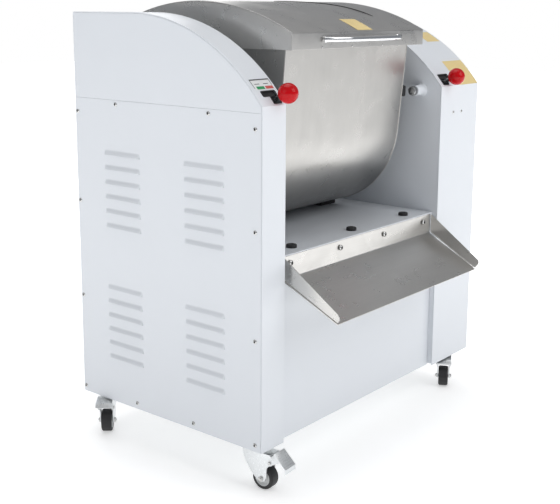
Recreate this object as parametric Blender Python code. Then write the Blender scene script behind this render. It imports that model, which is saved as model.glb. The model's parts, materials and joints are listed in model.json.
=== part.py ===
"""Tilting-trough dough mixer: a horizontal trough between two towers on a wheeled cabinet.

Machine frame used below: x from the left outer face to the right, y from the towers' front
faces to the rear, z up from the floor. place() moves it so the origin is the bounding box's
bottom centre.
"""

import math

import bmesh
import bpy
import numpy as np
from mathutils import Matrix, Vector

# Overall sizes, in metres.
BODY_W = 0.920
BODY_D = 0.590
FOOT_Z = 0.104
TOP_Z = 1.054
SHEET = 0.0025
GAP = 0.0003

# Towers: the front is straight up to an arc that rises to the flat top.
LEFT_W = 0.078
RIGHT_W = 0.195
ARC_R = 0.486
ARC_Y = 0.384
ARC_Z = TOP_Z - ARC_R
SEAM_Z = 0.852
WALL_LEG_W = 0.060
WALL_ARCH_Z = 0.444

# Louvres in the side panels.
LOUVRE_L = 0.120
LOUVRE_REACH = 0.005
LOUVRE_H = 0.009
LOUVRE_STARTS = (0.107, 0.369)
LOUVRE_TOPS = (0.720, 0.391)
LOUVRE_PITCH = 0.0352
LOUVRE_ROWS = 6

# Cabinet between the towers.
FRONT_STEP = 0.015
DECK_Z = 0.532
REAR_TOP_Z = 0.904
PAN_T = 0.004
BUMPER_D = 0.025
BUMPER_H = 0.008
BUMPER_Y = 0.052
BUMPER_PITCH = 0.236
PAD_SIZE = (0.064, 0.050, 0.0120)
PAD_X = 0.628

# Discharge chute on the front panel.
CHUTE_MARGIN = 0.010
CHUTE_FLANGE = 0.052
CHUTE_RUN = 0.1445
CHUTE_SLOPE = math.radians(27.0)
CHUTE_WALL = 0.022
CHUTE_TAPER = (0.009, 0.004)

# Trough and its tilt axis, which is also the agitator's axis.
AXIS_Y = 0.313
AXIS_Z = 0.776
TROUGH_L = BODY_W - 0.423
TROUGH_R = 0.230
TROUGH_T = 0.003
TROUGH_RIM_Z = 1.004
TROUGH_FLARE = math.radians(5.5)
TRUNNION_D = 0.074
TRUNNION_BORE = 0.046
BEARING_D = 0.120
BEARING_T = 0.022

# Lid: an arched sheet with a front lip and end plates.
LID_L = BODY_W - 0.383
LID_R = 0.620
LID_CREST_Z = 1.081
LID_CREST_Y = 0.310
LID_FRONT_Y = 0.029
LID_REAR_Y = 0.575
LID_EDGE_Z = 0.976
LID_PIVOT_Y = 0.548
LID_PIVOT_Z = 0.992
LID_PIVOT_D = 0.012
HANDLE_L = 0.316
HANDLE_BOW = 0.032
HANDLE_H = 0.012
HANDLE_T = 0.007
HANDLE_Z = 0.997

# Agitator.
SHAFT_D = 0.040
ARM_R = TROUGH_R - 0.025
ARM_W = 0.046
ARM_T = 0.012
ARM_INSET = 0.020
BAR_R = TROUGH_R - 0.038
BAR_D = 0.026
BAR_TWIST = math.radians(90.0)
BAR_START = math.radians(65.0)

# Drive in the left tower and the cabinet.
SPROCKET_X = (0.044, 0.052)
SPROCKET_R = 0.090
LAY_SPROCKET_R = 0.030
LAY_Y = 0.420
LAY_Z = 0.334
LAY_D = 0.030
LAY_END_X = 0.150
LAY_BLOCK = (0.095, 0.125, 0.045)
PULLEY_X = (0.018, 0.036)
LAY_PULLEY_R = 0.100
MOTOR_PULLEY_R = 0.040
MOTOR_Y = 0.200
MOTOR_Z = 0.204
MOTOR_R = 0.080
MOTOR_L = 0.260
MOTOR_X = 0.110
LOOP_CLEAR = 0.001
LOOP_T = 0.008

# Lever rods behind the towers' arcs.
ROD_Y = 0.060
ROD_Z = 0.855
ROD_D = 0.016
STEM_D = 0.009
STEM_ANGLE = math.radians(24.5)
KNOB_D = 0.044
KNOB_REACH = 0.089
CLUTCH_X = 0.058
LOCK_X = BODY_W - 0.158
BOSS_END_X = BODY_W - 0.246
BOSS_D = 0.027
LOCK_TRAVEL = 0.015
CLUTCH_TRAVEL = 0.010
SLOT_END = 0.006
SLOT_CORNER = 0.008
SLOT_REACH = (0.0205, 0.020)
SLOT_Z = (0.870, 0.885, 0.895)

# Casters.
WHEEL_R = 0.028
WHEEL_W = 0.027
WHEEL_TRAIL = 0.022
AXLE_D = 0.008
FORK_GAP = 0.0300
FORK_T = 0.0025
FORK_TOP_Z = 0.090
CASTER_PLATE = 0.060
CASTER_PLATE_T = 0.003
PEDAL_W = 0.040
PEDAL_PIN = (0.0465, 0.072)
PEDAL_PIN_D = 0.005
PEDAL_EAR_T = 0.0020
PEDAL_PRESSED = {"front_left": math.radians(40.0)}
CASTERS = {
    "front_left": (0.044, 0.048, math.radians(-86.0)),
    "front_right": (BODY_W - 0.044, 0.048, math.radians(-150.0)),
    "rear_left": (0.044, BODY_D - 0.038, math.radians(-139.0)),
    "rear_right": (BODY_W - 0.044, BODY_D - 0.038, math.radians(-41.0)),
}

# Derived sizes.
INNER_L = LEFT_W
INNER_R = BODY_W - RIGHT_W
BAY_MID = (INNER_L + INNER_R) / 2
TROUGH_X0 = BAY_MID - TROUGH_L / 2
TROUGH_X1 = BAY_MID + TROUGH_L / 2
LID_X0 = BAY_MID - LID_L / 2
LID_X1 = BAY_MID + LID_L / 2
CHUTE_TIP_Y = FRONT_STEP - GAP - CHUTE_RUN - CHUTE_WALL * math.sin(CHUTE_SLOPE)
ORIGIN = Vector((BODY_W / 2, (BODY_D + CHUTE_TIP_Y) / 2, 0.0))

# name: (red, green, blue), roughness, metallic
FINISHES = {
    "white_paint": ((0.80, 0.82, 0.85), 0.35, 0.0),
    "brushed_stainless": ((0.62, 0.61, 0.59), 0.32, 1.0),
    "chrome": ((0.80, 0.81, 0.82), 0.08, 1.0),
    "turned_steel": ((0.56, 0.57, 0.58), 0.28, 1.0),
    "zinc": ((0.70, 0.72, 0.72), 0.30, 1.0),
    "cast_iron": ((0.12, 0.16, 0.20), 0.55, 0.6),
    "black_rubber": ((0.02, 0.02, 0.022), 0.75, 0.0),
    "red_plastic": ((0.62, 0.01, 0.012), 0.18, 0.0),
    "black_plastic": ((0.03, 0.03, 0.032), 0.45, 0.0),
}


def clear_scene():
    """Removes every object."""
    for obj in list(bpy.data.objects):
        bpy.data.objects.remove(obj, do_unlink=True)


def finish(name):
    """The Principled material of this finish."""
    found = bpy.data.materials.get(name)
    if found:
        return found
    colour, roughness, metallic = FINISHES[name]
    made = bpy.data.materials.new(name)
    made.use_nodes = True
    shader = made.node_tree.nodes["Principled BSDF"]
    shader.inputs["Base Color"].default_value = (*colour, 1.0)
    shader.inputs["Roughness"].default_value = roughness
    shader.inputs["Metallic"].default_value = metallic
    made.diffuse_color = (*colour, 1.0)
    return made


def place(point):
    """A machine-frame point in the object's frame."""
    return Vector(point) - ORIGIN


def make(name, verts, faces, finish_name, pivot=None):
    """One object from machine-frame points, its origin on pivot."""
    base = place(pivot) if pivot else Vector((0.0, 0.0, 0.0))
    mesh = bpy.data.meshes.new(name)
    mesh.from_pydata([place(v) - base for v in verts], [], faces)
    shape = bmesh.new()
    shape.from_mesh(mesh)
    bmesh.ops.recalc_face_normals(shape, faces=shape.faces)
    shape.to_mesh(mesh)
    shape.free()
    mesh.materials.append(finish(finish_name))
    obj = bpy.data.objects.new(name, mesh)
    obj.location = base
    bpy.context.scene.collection.objects.link(obj)
    return obj


def prism(outline, low, high):
    """Points and faces of an outline swept from the point list low to high."""
    count = len(outline)
    faces = [tuple(range(count))[::-1], tuple(range(count, 2 * count))]
    for i in range(count):
        j = (i + 1) % count
        faces.append((i, j, count + j, count + i))
    return list(low) + list(high), faces


def along_x(outline, x0, x1):
    """A (y, z) outline swept along x."""
    return prism(outline, [(x0, y, z) for y, z in outline], [(x1, y, z) for y, z in outline])


def along_y(outline, y0, y1):
    """An (x, z) outline swept along y."""
    return prism(outline, [(x, y0, z) for x, z in outline], [(x, y1, z) for x, z in outline])


def box(low, high):
    """Points and faces of an axis-aligned box."""
    (x0, y0, z0), (x1, y1, z1) = low, high
    return along_x([(y0, z0), (y1, z0), (y1, z1), (y0, z1)], x0, x1)


def turned(profile, centre, axis, sides=32):
    """A closed ring profile of (distance along axis, radius) turned about the axis."""
    axis = Vector(axis).normalized()
    side = axis.orthogonal().normalized()
    other = axis.cross(side)
    centre = Vector(centre)
    rings = len(profile)
    verts = []
    for k in range(sides):
        turn = 2 * math.pi * k / sides
        out = side * math.cos(turn) + other * math.sin(turn)
        verts += [tuple(centre + axis * a + out * r) for a, r in profile]
    faces = []
    for k in range(sides):
        nxt = (k + 1) % sides
        for i in range(rings):
            j = (i + 1) % rings
            faces.append((k * rings + i, k * rings + j, nxt * rings + j, nxt * rings + i))
    return verts, faces


def rod(start, end, radius, sides=24):
    """A solid cylinder from start to end."""
    start = Vector(start)
    end = Vector(end)
    axis = (end - start).normalized()
    side = axis.orthogonal().normalized()
    other = axis.cross(side)
    turns = [2 * math.pi * k / sides for k in range(sides)]
    rim = [(side * math.cos(t) + other * math.sin(t)) * radius for t in turns]
    return prism(rim, [tuple(start + r) for r in rim], [tuple(end + r) for r in rim])


def tube(start, end, outer, inner, sides=32):
    """A hollow cylinder from start to end."""
    length = (Vector(end) - Vector(start)).length
    profile = [(0.0, inner), (length, inner), (length, outer), (0.0, outer)]
    return turned(profile, start, Vector(end) - Vector(start), sides)


def ball(centre, radius, rings=12, sides=20):
    """A closed sphere about centre."""
    verts = [(centre[0], centre[1], centre[2] - radius)]
    for i in range(1, rings):
        tilt = math.pi * i / rings - math.pi / 2
        for k in range(sides):
            turn = 2 * math.pi * k / sides
            flat = radius * math.cos(tilt)
            verts.append((
                centre[0] + flat * math.cos(turn),
                centre[1] + flat * math.sin(turn),
                centre[2] + radius * math.sin(tilt),
            ))
    verts.append((centre[0], centre[1], centre[2] + radius))
    last = len(verts) - 1
    faces = []
    for k in range(sides):
        nxt = (k + 1) % sides
        faces.append((0, 1 + nxt, 1 + k))
        top = 1 + (rings - 2) * sides
        faces.append((last, top + k, top + nxt))
        for i in range(rings - 2):
            row = 1 + i * sides
            faces.append((row + k, row + nxt, row + sides + nxt, row + sides + k))
    return verts, faces


def swept(path, section, ups):
    """A closed section swept along a path, one up vector for each point."""
    points = [Vector(p) for p in path]
    count = len(section)
    verts = []
    for i, point in enumerate(points):
        ahead = points[min(i + 1, len(points) - 1)]
        behind = points[max(i - 1, 0)]
        along = (ahead - behind).normalized()
        up = Vector(ups[i])
        up = (up - along * up.dot(along)).normalized()
        side = along.cross(up)
        verts += [tuple(point + side * a + up * b) for a, b in section]
    faces = [tuple(range(count))[::-1]]
    for i in range(len(points) - 1):
        for k in range(count):
            nxt = (k + 1) % count
            row = i * count
            faces.append((row + k, row + nxt, row + count + nxt, row + count + k))
    start = (len(points) - 1) * count
    faces.append(tuple(range(start, start + count)))
    return verts, faces


def joined(parts):
    """Several separate solids as one point and face list."""
    verts = []
    faces = []
    for part_verts, part_faces in parts:
        shift = len(verts)
        verts += part_verts
        faces += [tuple(i + shift for i in face) for face in part_faces]
    return verts, faces


def combine(target, shape, operation):
    """Cuts shape from target, or adds it, with a hidden helper object."""
    helper = make(f"{target.name}_{operation.lower()}_{len(target.modifiers)}", *shape, "zinc")
    helper.hide_render = True
    helper.display_type = "WIRE"
    step = target.modifiers.new(helper.name, "BOOLEAN")
    step.operation = operation
    step.solver = "EXACT"
    step.object = helper


def arc(centre, radius, start, end, steps):
    """(y, z) points on a circle between two angles in radians."""
    angles = np.linspace(start, end, steps + 1)
    return [(centre[0] + radius * math.cos(a), centre[1] + radius * math.sin(a)) for a in angles]


def tower_arc(inset, steps=24):
    """The tower's front arc, moved inwards, from the front line up to the crest."""
    radius = ARC_R - inset
    first = math.acos((inset - ARC_Y) / radius)
    return arc((ARC_Y, ARC_Z), radius, first, math.pi / 2, steps)


def tower_outline(inset, low_z):
    """The tower's side outline from the front foot round to the rear foot."""
    rear = BODY_D - inset
    return [(inset, low_z)] + tower_arc(inset) + [(rear, TOP_Z - inset), (rear, low_z)]


def wrap(name, x0, x1, slot):
    """The bent sheet over a tower's front, arc, top and back, with its lever slot."""
    outer = tower_outline(0.0, FOOT_Z)
    inner = tower_outline(SHEET, FOOT_Z)
    sheet = make(name, *along_x(outer + inner[::-1], x0, x1), "white_paint")
    combine(sheet, along_y(slot, -0.020, ROD_Y), "DIFFERENCE")
    return sheet


def inner_wall(name, x0, x1, holes):
    """A tower's inner side plate, arched over the cabinet's inside, with round holes."""
    edge = SHEET + GAP
    low = FOOT_Z + PAN_T + GAP
    front, rear = edge, BODY_D - edge
    outline = [(front, low)] + tower_arc(edge) + [(rear, TOP_Z - edge), (rear, low)]
    outline += [(rear - WALL_LEG_W, low), (rear - WALL_LEG_W, WALL_ARCH_Z)]
    outline += [(front + WALL_LEG_W, WALL_ARCH_Z), (front + WALL_LEG_W, low)]
    plate = make(name, *along_x(outline, x0, x1), "white_paint")
    cuts = [rod((x0 - 0.01, y, z), (x1 + 0.01, y, z), d / 2) for y, z, d in holes]
    combine(plate, joined(cuts), "DIFFERENCE")
    return plate


def cap(name, x0, x1):
    """The upper outer cheek of a tower, above the seam."""
    edge = SHEET + GAP
    top = [(y, z) for y, z in tower_arc(edge) if z > SEAM_Z + 0.002]
    outline = [(edge, SEAM_Z + GAP / 2)] + top
    outline += [(BODY_D - edge, TOP_Z - edge), (BODY_D - edge, SEAM_Z + GAP / 2)]
    return make(name, *along_x(outline, x0, x1), "white_paint")


def louvre_cells():
    """(y start, z of the lower edge) of every louvre."""
    return [
        (y, top - row * LOUVRE_PITCH)
        for y in LOUVRE_STARTS
        for top in LOUVRE_TOPS
        for row in range(LOUVRE_ROWS)
    ]


def side_panel(name, face_x, inward):
    """A lower outer panel with its rows of slots, each under a slanted flap."""
    edge = SHEET + GAP
    inside = face_x + inward * SHEET
    low = (min(face_x, inside), edge, FOOT_Z)
    high = (max(face_x, inside), BODY_D - edge, SEAM_Z - GAP / 2)
    panel = make(name, *box(low, high), "white_paint")
    slots = []
    flaps = []
    root = face_x + inward * SHEET * 0.6
    lip = face_x - inward * LOUVRE_REACH
    back = lip + inward * 0.0015
    for y, z in louvre_cells():
        xs = sorted((face_x - inward * 0.002, face_x + inward * 0.005))
        low = (xs[0], y + 0.002, z - 0.001)
        high = (xs[1], y + LOUVRE_L - 0.002, z + LOUVRE_H - 0.002)
        slots.append(box(low, high))
        flap = [(root, z + LOUVRE_H + 0.001), (lip, z + 0.0015), (lip, z), (back, z)]
        flap.append((root, z + LOUVRE_H - 0.003))
        flaps.append(along_y(flap, y, y + LOUVRE_L))
    combine(panel, joined(slots), "DIFFERENCE")
    combine(panel, joined(flaps), "UNION")
    return panel


def slot_outline(stem_x, leg_x, far_x):
    """(x, z) outline of a lever slot: a leg round the stem and a narrower band beyond it."""
    corner = math.copysign(SLOT_CORNER, leg_x - stem_x)
    low, middle, high = SLOT_Z
    outline = [(stem_x, low), (leg_x, low), (leg_x, middle), (far_x, middle), (far_x, high)]
    return outline + [(stem_x + corner, high), (stem_x, high - SLOT_CORNER)]


def towers():
    """Both towers: wraps, inner walls, caps and side panels."""
    clutch_leg = CLUTCH_X - CLUTCH_TRAVEL - SLOT_END
    left_slot = slot_outline(CLUTCH_X + 1.5 * SLOT_END, clutch_leg, clutch_leg - SLOT_REACH[0])
    lock_leg = LOCK_X + SLOT_END
    right_slot = slot_outline(LOCK_X - LOCK_TRAVEL - SLOT_END, lock_leg, lock_leg + SLOT_REACH[1])
    shaft_hole = (AXIS_Y, AXIS_Z, TRUNNION_BORE)
    wrap("left_tower_wrap", 0.0, LEFT_W, left_slot)
    wrap("right_tower_wrap", INNER_R, BODY_W, right_slot)
    inner_wall("left_tower_inner_wall", INNER_L - SHEET, INNER_L, [shaft_hole])
    lock_hole = (ROD_Y, ROD_Z, ROD_D + 0.001)
    inner_wall("right_tower_inner_wall", INNER_R, INNER_R + SHEET, [shaft_hole, lock_hole])
    cap("left_tower_cap", 0.0, SHEET)
    cap("right_tower_cap", BODY_W - SHEET, BODY_W)
    side_panel("left_side_panel", 0.0, 1)
    side_panel("right_side_panel", BODY_W, -1)


def cabinet():
    """The floor pan, front and rear panels, deck, bumpers, rest pad and cable gland."""
    x0 = INNER_L + GAP
    x1 = INNER_R - GAP
    behind = FRONT_STEP + SHEET
    inside = SHEET + GAP
    rear = BODY_D - SHEET
    pan_high = (BODY_W - inside, rear - GAP, FOOT_Z + PAN_T)
    make("floor_pan", *box((inside, behind + GAP, FOOT_Z), pan_high), "zinc")
    make("front_panel", *box((x0, FRONT_STEP, FOOT_Z), (x1, behind, DECK_Z - SHEET - GAP)), "white_paint")
    make("rear_panel", *box((x0, rear, FOOT_Z), (x1, BODY_D, REAR_TOP_Z)), "white_paint")
    make("deck_plate", *box((x0, FRONT_STEP, DECK_Z - SHEET), (x1, rear - GAP, DECK_Z)), "white_paint")
    for name, step in (("left", -1), ("middle", 0), ("right", 1)):
        x = BAY_MID + step * BUMPER_PITCH
        foot = (x, BUMPER_Y, DECK_Z + GAP)
        head = (x, BUMPER_Y, DECK_Z + BUMPER_H)
        make(f"deck_bumper_{name}", *rod(foot, head, BUMPER_D / 2, 28), "black_rubber")
    half_x, half_y = PAD_SIZE[0] / 2, PAD_SIZE[1] / 2
    low = (PAD_X - half_x, AXIS_Y - half_y, DECK_Z + GAP)
    high = (PAD_X + half_x, AXIS_Y + half_y, DECK_Z + PAD_SIZE[2])
    make("trough_rest_pad", *box(low, high), "black_rubber")
    top = FOOT_Z - GAP
    steps = [(0.0, 0.004), (0.0, 0.014), (0.008, 0.014), (0.008, 0.010), (0.022, 0.008), (0.022, 0.004)]
    make("cable_gland", *turned(steps, (0.700, 0.550, top), (0, 0, -1), 24), "black_plastic")


def chute():
    """A sloped tray hung on the front panel by its rear flange, with two side walls."""
    x0 = INNER_L + CHUTE_MARGIN
    x1 = INNER_R - CHUTE_MARGIN
    back = FRONT_STEP - GAP
    top = DECK_Z - SHEET - GAP
    low = top - CHUTE_FLANGE
    fall = math.tan(CHUTE_SLOPE)
    tip = (back - CHUTE_RUN, low - CHUTE_RUN * fall)
    lean = (-CHUTE_WALL * math.sin(CHUTE_SLOPE), CHUTE_WALL * math.cos(CHUTE_SLOPE))
    wall_top = (tip[0] + lean[0], tip[1] + lean[1])
    outline = [(back, top), (back, low), tip, wall_top, (back - SHEET - 0.002, top)]
    insets = (0.0, 0.0, CHUTE_TAPER[0], CHUTE_TAPER[1], 0.0)
    tray = make("discharge_chute", *tapered(outline, insets, x0, x1), "brushed_stainless")
    face = back - SHEET
    lift = SHEET / math.cos(CHUTE_SLOPE)
    corner = (face, low + lift - SHEET * fall)
    reach = 2 * CHUTE_RUN
    far = (face - reach, corner[1] - reach * fall)
    hollow = [(face, top + 0.050), corner, far, (far[0], top + 0.050)]
    insets = (0.0, 0.0, 2 * CHUTE_TAPER[0], 0.0)
    combine(tray, tapered(hollow, insets, x0 + SHEET, x1 - SHEET), "DIFFERENCE")


def tapered(outline, insets, x0, x1):
    """A (y, z) outline swept along x, each point drawn in by its own inset at both ends."""
    low = [(x0 + inset, y, z) for (y, z), inset in zip(outline, insets)]
    high = [(x1 - inset, y, z) for (y, z), inset in zip(outline, insets)]
    return prism(outline, low, high)


def trough_outline(inset, rim_z):
    """The U-shaped side outline of the trough, its walls leaning outwards to the rim."""
    radius = TROUGH_R - inset
    bottom = arc((AXIS_Y, AXIS_Z), radius, math.pi + TROUGH_FLARE, 2 * math.pi - TROUGH_FLARE, 32)
    rise = rim_z - bottom[0][1]
    spread = rise * math.tan(TROUGH_FLARE)
    front = (bottom[0][0] - spread, rim_z)
    rear = (bottom[-1][0] + spread, rim_z)
    return [front] + bottom + [rear]


def trough():
    """The tilting trough with its trunnion tubes, lid pivots and lock lug."""
    centre = (BAY_MID, AXIS_Y, AXIS_Z)
    x0, x1 = TROUGH_X0, TROUGH_X1
    shell = along_x(trough_outline(0.0, TROUGH_RIM_Z), x0, x1)
    body = make("trough", *shell, "brushed_stainless", centre)
    hollow = along_x(trough_outline(TROUGH_T, TROUGH_RIM_Z + 0.02), x0 + TROUGH_T, x1 - TROUGH_T)
    combine(body, hollow, "DIFFERENCE")
    added = []
    for start, end, pin_end in (
        (INNER_L + 0.006, x0 + TROUGH_T / 2, x0 - 0.0225),
        (INNER_R - 0.006, x1 - TROUGH_T / 2, x1 + 0.0215),
    ):
        added.append(rod((start, AXIS_Y, AXIS_Z), (end, AXIS_Y, AXIS_Z), TRUNNION_D / 2, 32))
        pin = (pin_end, LID_PIVOT_Y, LID_PIVOT_Z)
        added.append(rod(pin, (end, LID_PIVOT_Y, LID_PIVOT_Z), LID_PIVOT_D / 2, 20))
    combine(body, joined(added), "UNION")
    bore = rod((INNER_L - 0.02, AXIS_Y, AXIS_Z), (INNER_R + 0.02, AXIS_Y, AXIS_Z), TRUNNION_BORE / 2, 32)
    combine(body, bore, "DIFFERENCE")
    lug = box((x1 + GAP, ROD_Y + 0.014, ROD_Z - 0.014), (BOSS_END_X - 0.005, ROD_Y + 0.036, ROD_Z + 0.014))
    make("trough_lock_lug", *lug, "black_rubber")


def lid():
    """The arched lid, which turns on the trough's rear pivots, and its bow handle."""
    centre = (LID_CREST_Y, LID_CREST_Z - LID_R)
    front = math.acos((LID_FRONT_Y - LID_CREST_Y) / LID_R)
    rear = math.acos((LID_REAR_Y - LID_CREST_Y) / LID_R)
    outer = arc(centre, LID_R, front, rear, 28)
    outline = [(LID_FRONT_Y, LID_EDGE_Z)] + outer + [(LID_REAR_Y, LID_EDGE_Z)]
    pivot = (BAY_MID, LID_PIVOT_Y, LID_PIVOT_Z)
    body = make("lid", *along_x(outline, LID_X0, LID_X1), "brushed_stainless", pivot)
    radius = LID_R - SHEET
    front = math.acos((LID_FRONT_Y + SHEET - LID_CREST_Y) / radius)
    beyond = math.acos((LID_REAR_Y + 0.02 - LID_CREST_Y) / radius)
    inner = arc(centre, radius, front, beyond, 28)
    low = LID_EDGE_Z - 0.02
    hollow = [(LID_FRONT_Y + SHEET, low)] + inner + [(LID_REAR_Y + 0.02, low)]
    combine(body, along_x(hollow, LID_X0 + SHEET, LID_X1 - SHEET), "DIFFERENCE")
    ends = [(x, LID_PIVOT_Y, LID_PIVOT_Z) for x in (LID_X0 - 0.02, LID_X1 + 0.02)]
    hole = rod(*ends, LID_PIVOT_D / 2 + GAP, 20)
    combine(body, hole, "DIFFERENCE")
    turns = np.linspace(-1.0, 1.0, 25)
    path = []
    for t in turns:
        reach = HANDLE_BOW * (1.0 - abs(t) ** 3.5)
        path.append((BAY_MID + t * HANDLE_L / 2, LID_FRONT_Y - GAP - HANDLE_T / 2 - reach, HANDLE_Z))
    corners = ((0.5, 0.3), (0.3, 0.5), (-0.3, 0.5), (-0.5, 0.3))
    section = [(s * a * HANDLE_T, s * b * HANDLE_H) for s in (1, -1) for a, b in corners]
    make("lid_handle", *swept(path, section, [(0, 0, 1)] * len(path)), "chrome")


def bearings():
    """The trunnion bearings on the towers' inner walls."""
    for name, start, way in (("left", INNER_L + GAP, 1), ("right", INNER_R - GAP, -1)):
        end = (start + way * BEARING_T, AXIS_Y, AXIS_Z)
        ring = tube((start, AXIS_Y, AXIS_Z), end, BEARING_D / 2, TRUNNION_D / 2 + GAP)
        make(f"trunnion_bearing_{name}", *ring, "cast_iron")


def arm(name, x0, turn):
    """A flat agitator arm with a hub, bored for the shaft."""
    pivot = (BAY_MID, AXIS_Y, AXIS_Z)
    along = (math.cos(turn), math.sin(turn))
    across = (-along[1], along[0])
    corners = []
    for a, b in ((-1, -1), (1, -1), (1, 1), (-1, 1)):
        y = AXIS_Y + a * ARM_R * along[0] + b * ARM_W / 2 * across[0]
        z = AXIS_Z + a * ARM_R * along[1] + b * ARM_W / 2 * across[1]
        corners.append((y, z))
    blade = make(name, *along_x(corners, x0, x0 + ARM_T), "brushed_stainless", pivot)
    hub = rod((x0 - 0.004, AXIS_Y, AXIS_Z), (x0 + ARM_T + 0.004, AXIS_Y, AXIS_Z), 0.035, 32)
    combine(blade, hub, "UNION")
    bore = rod((x0 - 0.02, AXIS_Y, AXIS_Z), (x0 + ARM_T + 0.02, AXIS_Y, AXIS_Z), SHAFT_D / 2 + GAP, 32)
    combine(blade, bore, "DIFFERENCE")


def bar(name, x0, x1, start):
    """A round agitator bar that winds a quarter turn from arm to arm."""
    pivot = (BAY_MID, AXIS_Y, AXIS_Z)
    steps = np.linspace(0.0, 1.0, 17)
    path = []
    ups = []
    for t in steps:
        turn = start + BAR_TWIST * t
        out = (0.0, math.cos(turn), math.sin(turn))
        path.append((x0 + (x1 - x0) * t, AXIS_Y + BAR_R * out[1], AXIS_Z + BAR_R * out[2]))
        ups.append(out)
    angles = [2 * math.pi * k / 12 for k in range(12)]
    section = [(BAR_D / 2 * math.cos(a), BAR_D / 2 * math.sin(a)) for a in angles]
    verts, faces = swept(path, section, ups)
    count = len(section)
    verts[:count] = [(x0, y, z) for _, y, z in verts[:count]]
    verts[-count:] = [(x1, y, z) for _, y, z in verts[-count:]]
    make(name, verts, faces, "brushed_stainless", pivot)


def agitator():
    """The shaft, two arms and two winding bars, with the driven sprocket."""
    pivot = (BAY_MID, AXIS_Y, AXIS_Z)
    ends = ((0.010, AXIS_Y, AXIS_Z), (INNER_R + 0.065, AXIS_Y, AXIS_Z))
    make("agitator_shaft", *rod(*ends, SHAFT_D / 2, 36), "turned_steel", pivot)
    left = TROUGH_X0 + ARM_INSET
    right = TROUGH_X1 - ARM_INSET - ARM_T
    arm("agitator_arm_left", left, BAR_START)
    arm("agitator_arm_right", right, BAR_START + BAR_TWIST)
    bar("agitator_bar_a", left + ARM_T + GAP, right - GAP, BAR_START)
    bar("agitator_bar_b", left + ARM_T + GAP, right - GAP, BAR_START + math.pi)
    width = SPROCKET_X[1] - SPROCKET_X[0]
    bore = SHAFT_D / 2 + GAP
    disc = [(0.0, bore), (width + 0.008, bore), (width + 0.008, 0.034), (width, 0.034)]
    disc += [(width, SPROCKET_R), (0.0, SPROCKET_R)]
    wheel = turned(disc, (SPROCKET_X[0], AXIS_Y, AXIS_Z), (1, 0, 0), 40)
    make("agitator_sprocket", *wheel, "turned_steel", pivot)


def loop(centre_a, radius_a, centre_b, radius_b, steps=20):
    """The outline of a band drawn tight round two circles, as (y, z) points."""
    a = np.array(centre_a)
    b = np.array(centre_b)
    apart = b - a
    length = float(np.hypot(*apart))
    heading = math.atan2(apart[1], apart[0])
    lean = math.acos((radius_a - radius_b) / length)
    round_b = np.linspace(heading - lean, heading + lean, steps)
    round_a = np.linspace(heading + lean, heading - lean + 2 * math.pi, steps)
    points = [tuple(b + radius_b * np.array((math.cos(t), math.sin(t)))) for t in round_b]
    points += [tuple(a + radius_a * np.array((math.cos(t), math.sin(t)))) for t in round_a]
    return [(float(y), float(z)) for y, z in points]


def band(name, circle_a, circle_b, x0, x1, finish_name):
    """A closed belt or chain loop round two wheels."""
    (centre_a, radius_a), (centre_b, radius_b) = circle_a, circle_b
    far = LOOP_CLEAR + LOOP_T
    outer = loop(centre_a, radius_a + far, centre_b, radius_b + far)
    inner = loop(centre_a, radius_a + LOOP_CLEAR, centre_b, radius_b + LOOP_CLEAR)
    count = len(outer)
    verts = [(x, y, z) for x in (x0, x1) for y, z in outer + inner]
    faces = []
    for i in range(count):
        j = (i + 1) % count
        far = 2 * count
        faces.append((i, j, far + j, far + i))
        faces.append((count + j, count + i, far + count + i, far + count + j))
        faces.append((j, i, count + i, count + j))
        faces.append((far + i, far + j, far + count + j, far + count + i))
    make(name, verts, faces, finish_name)


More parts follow.
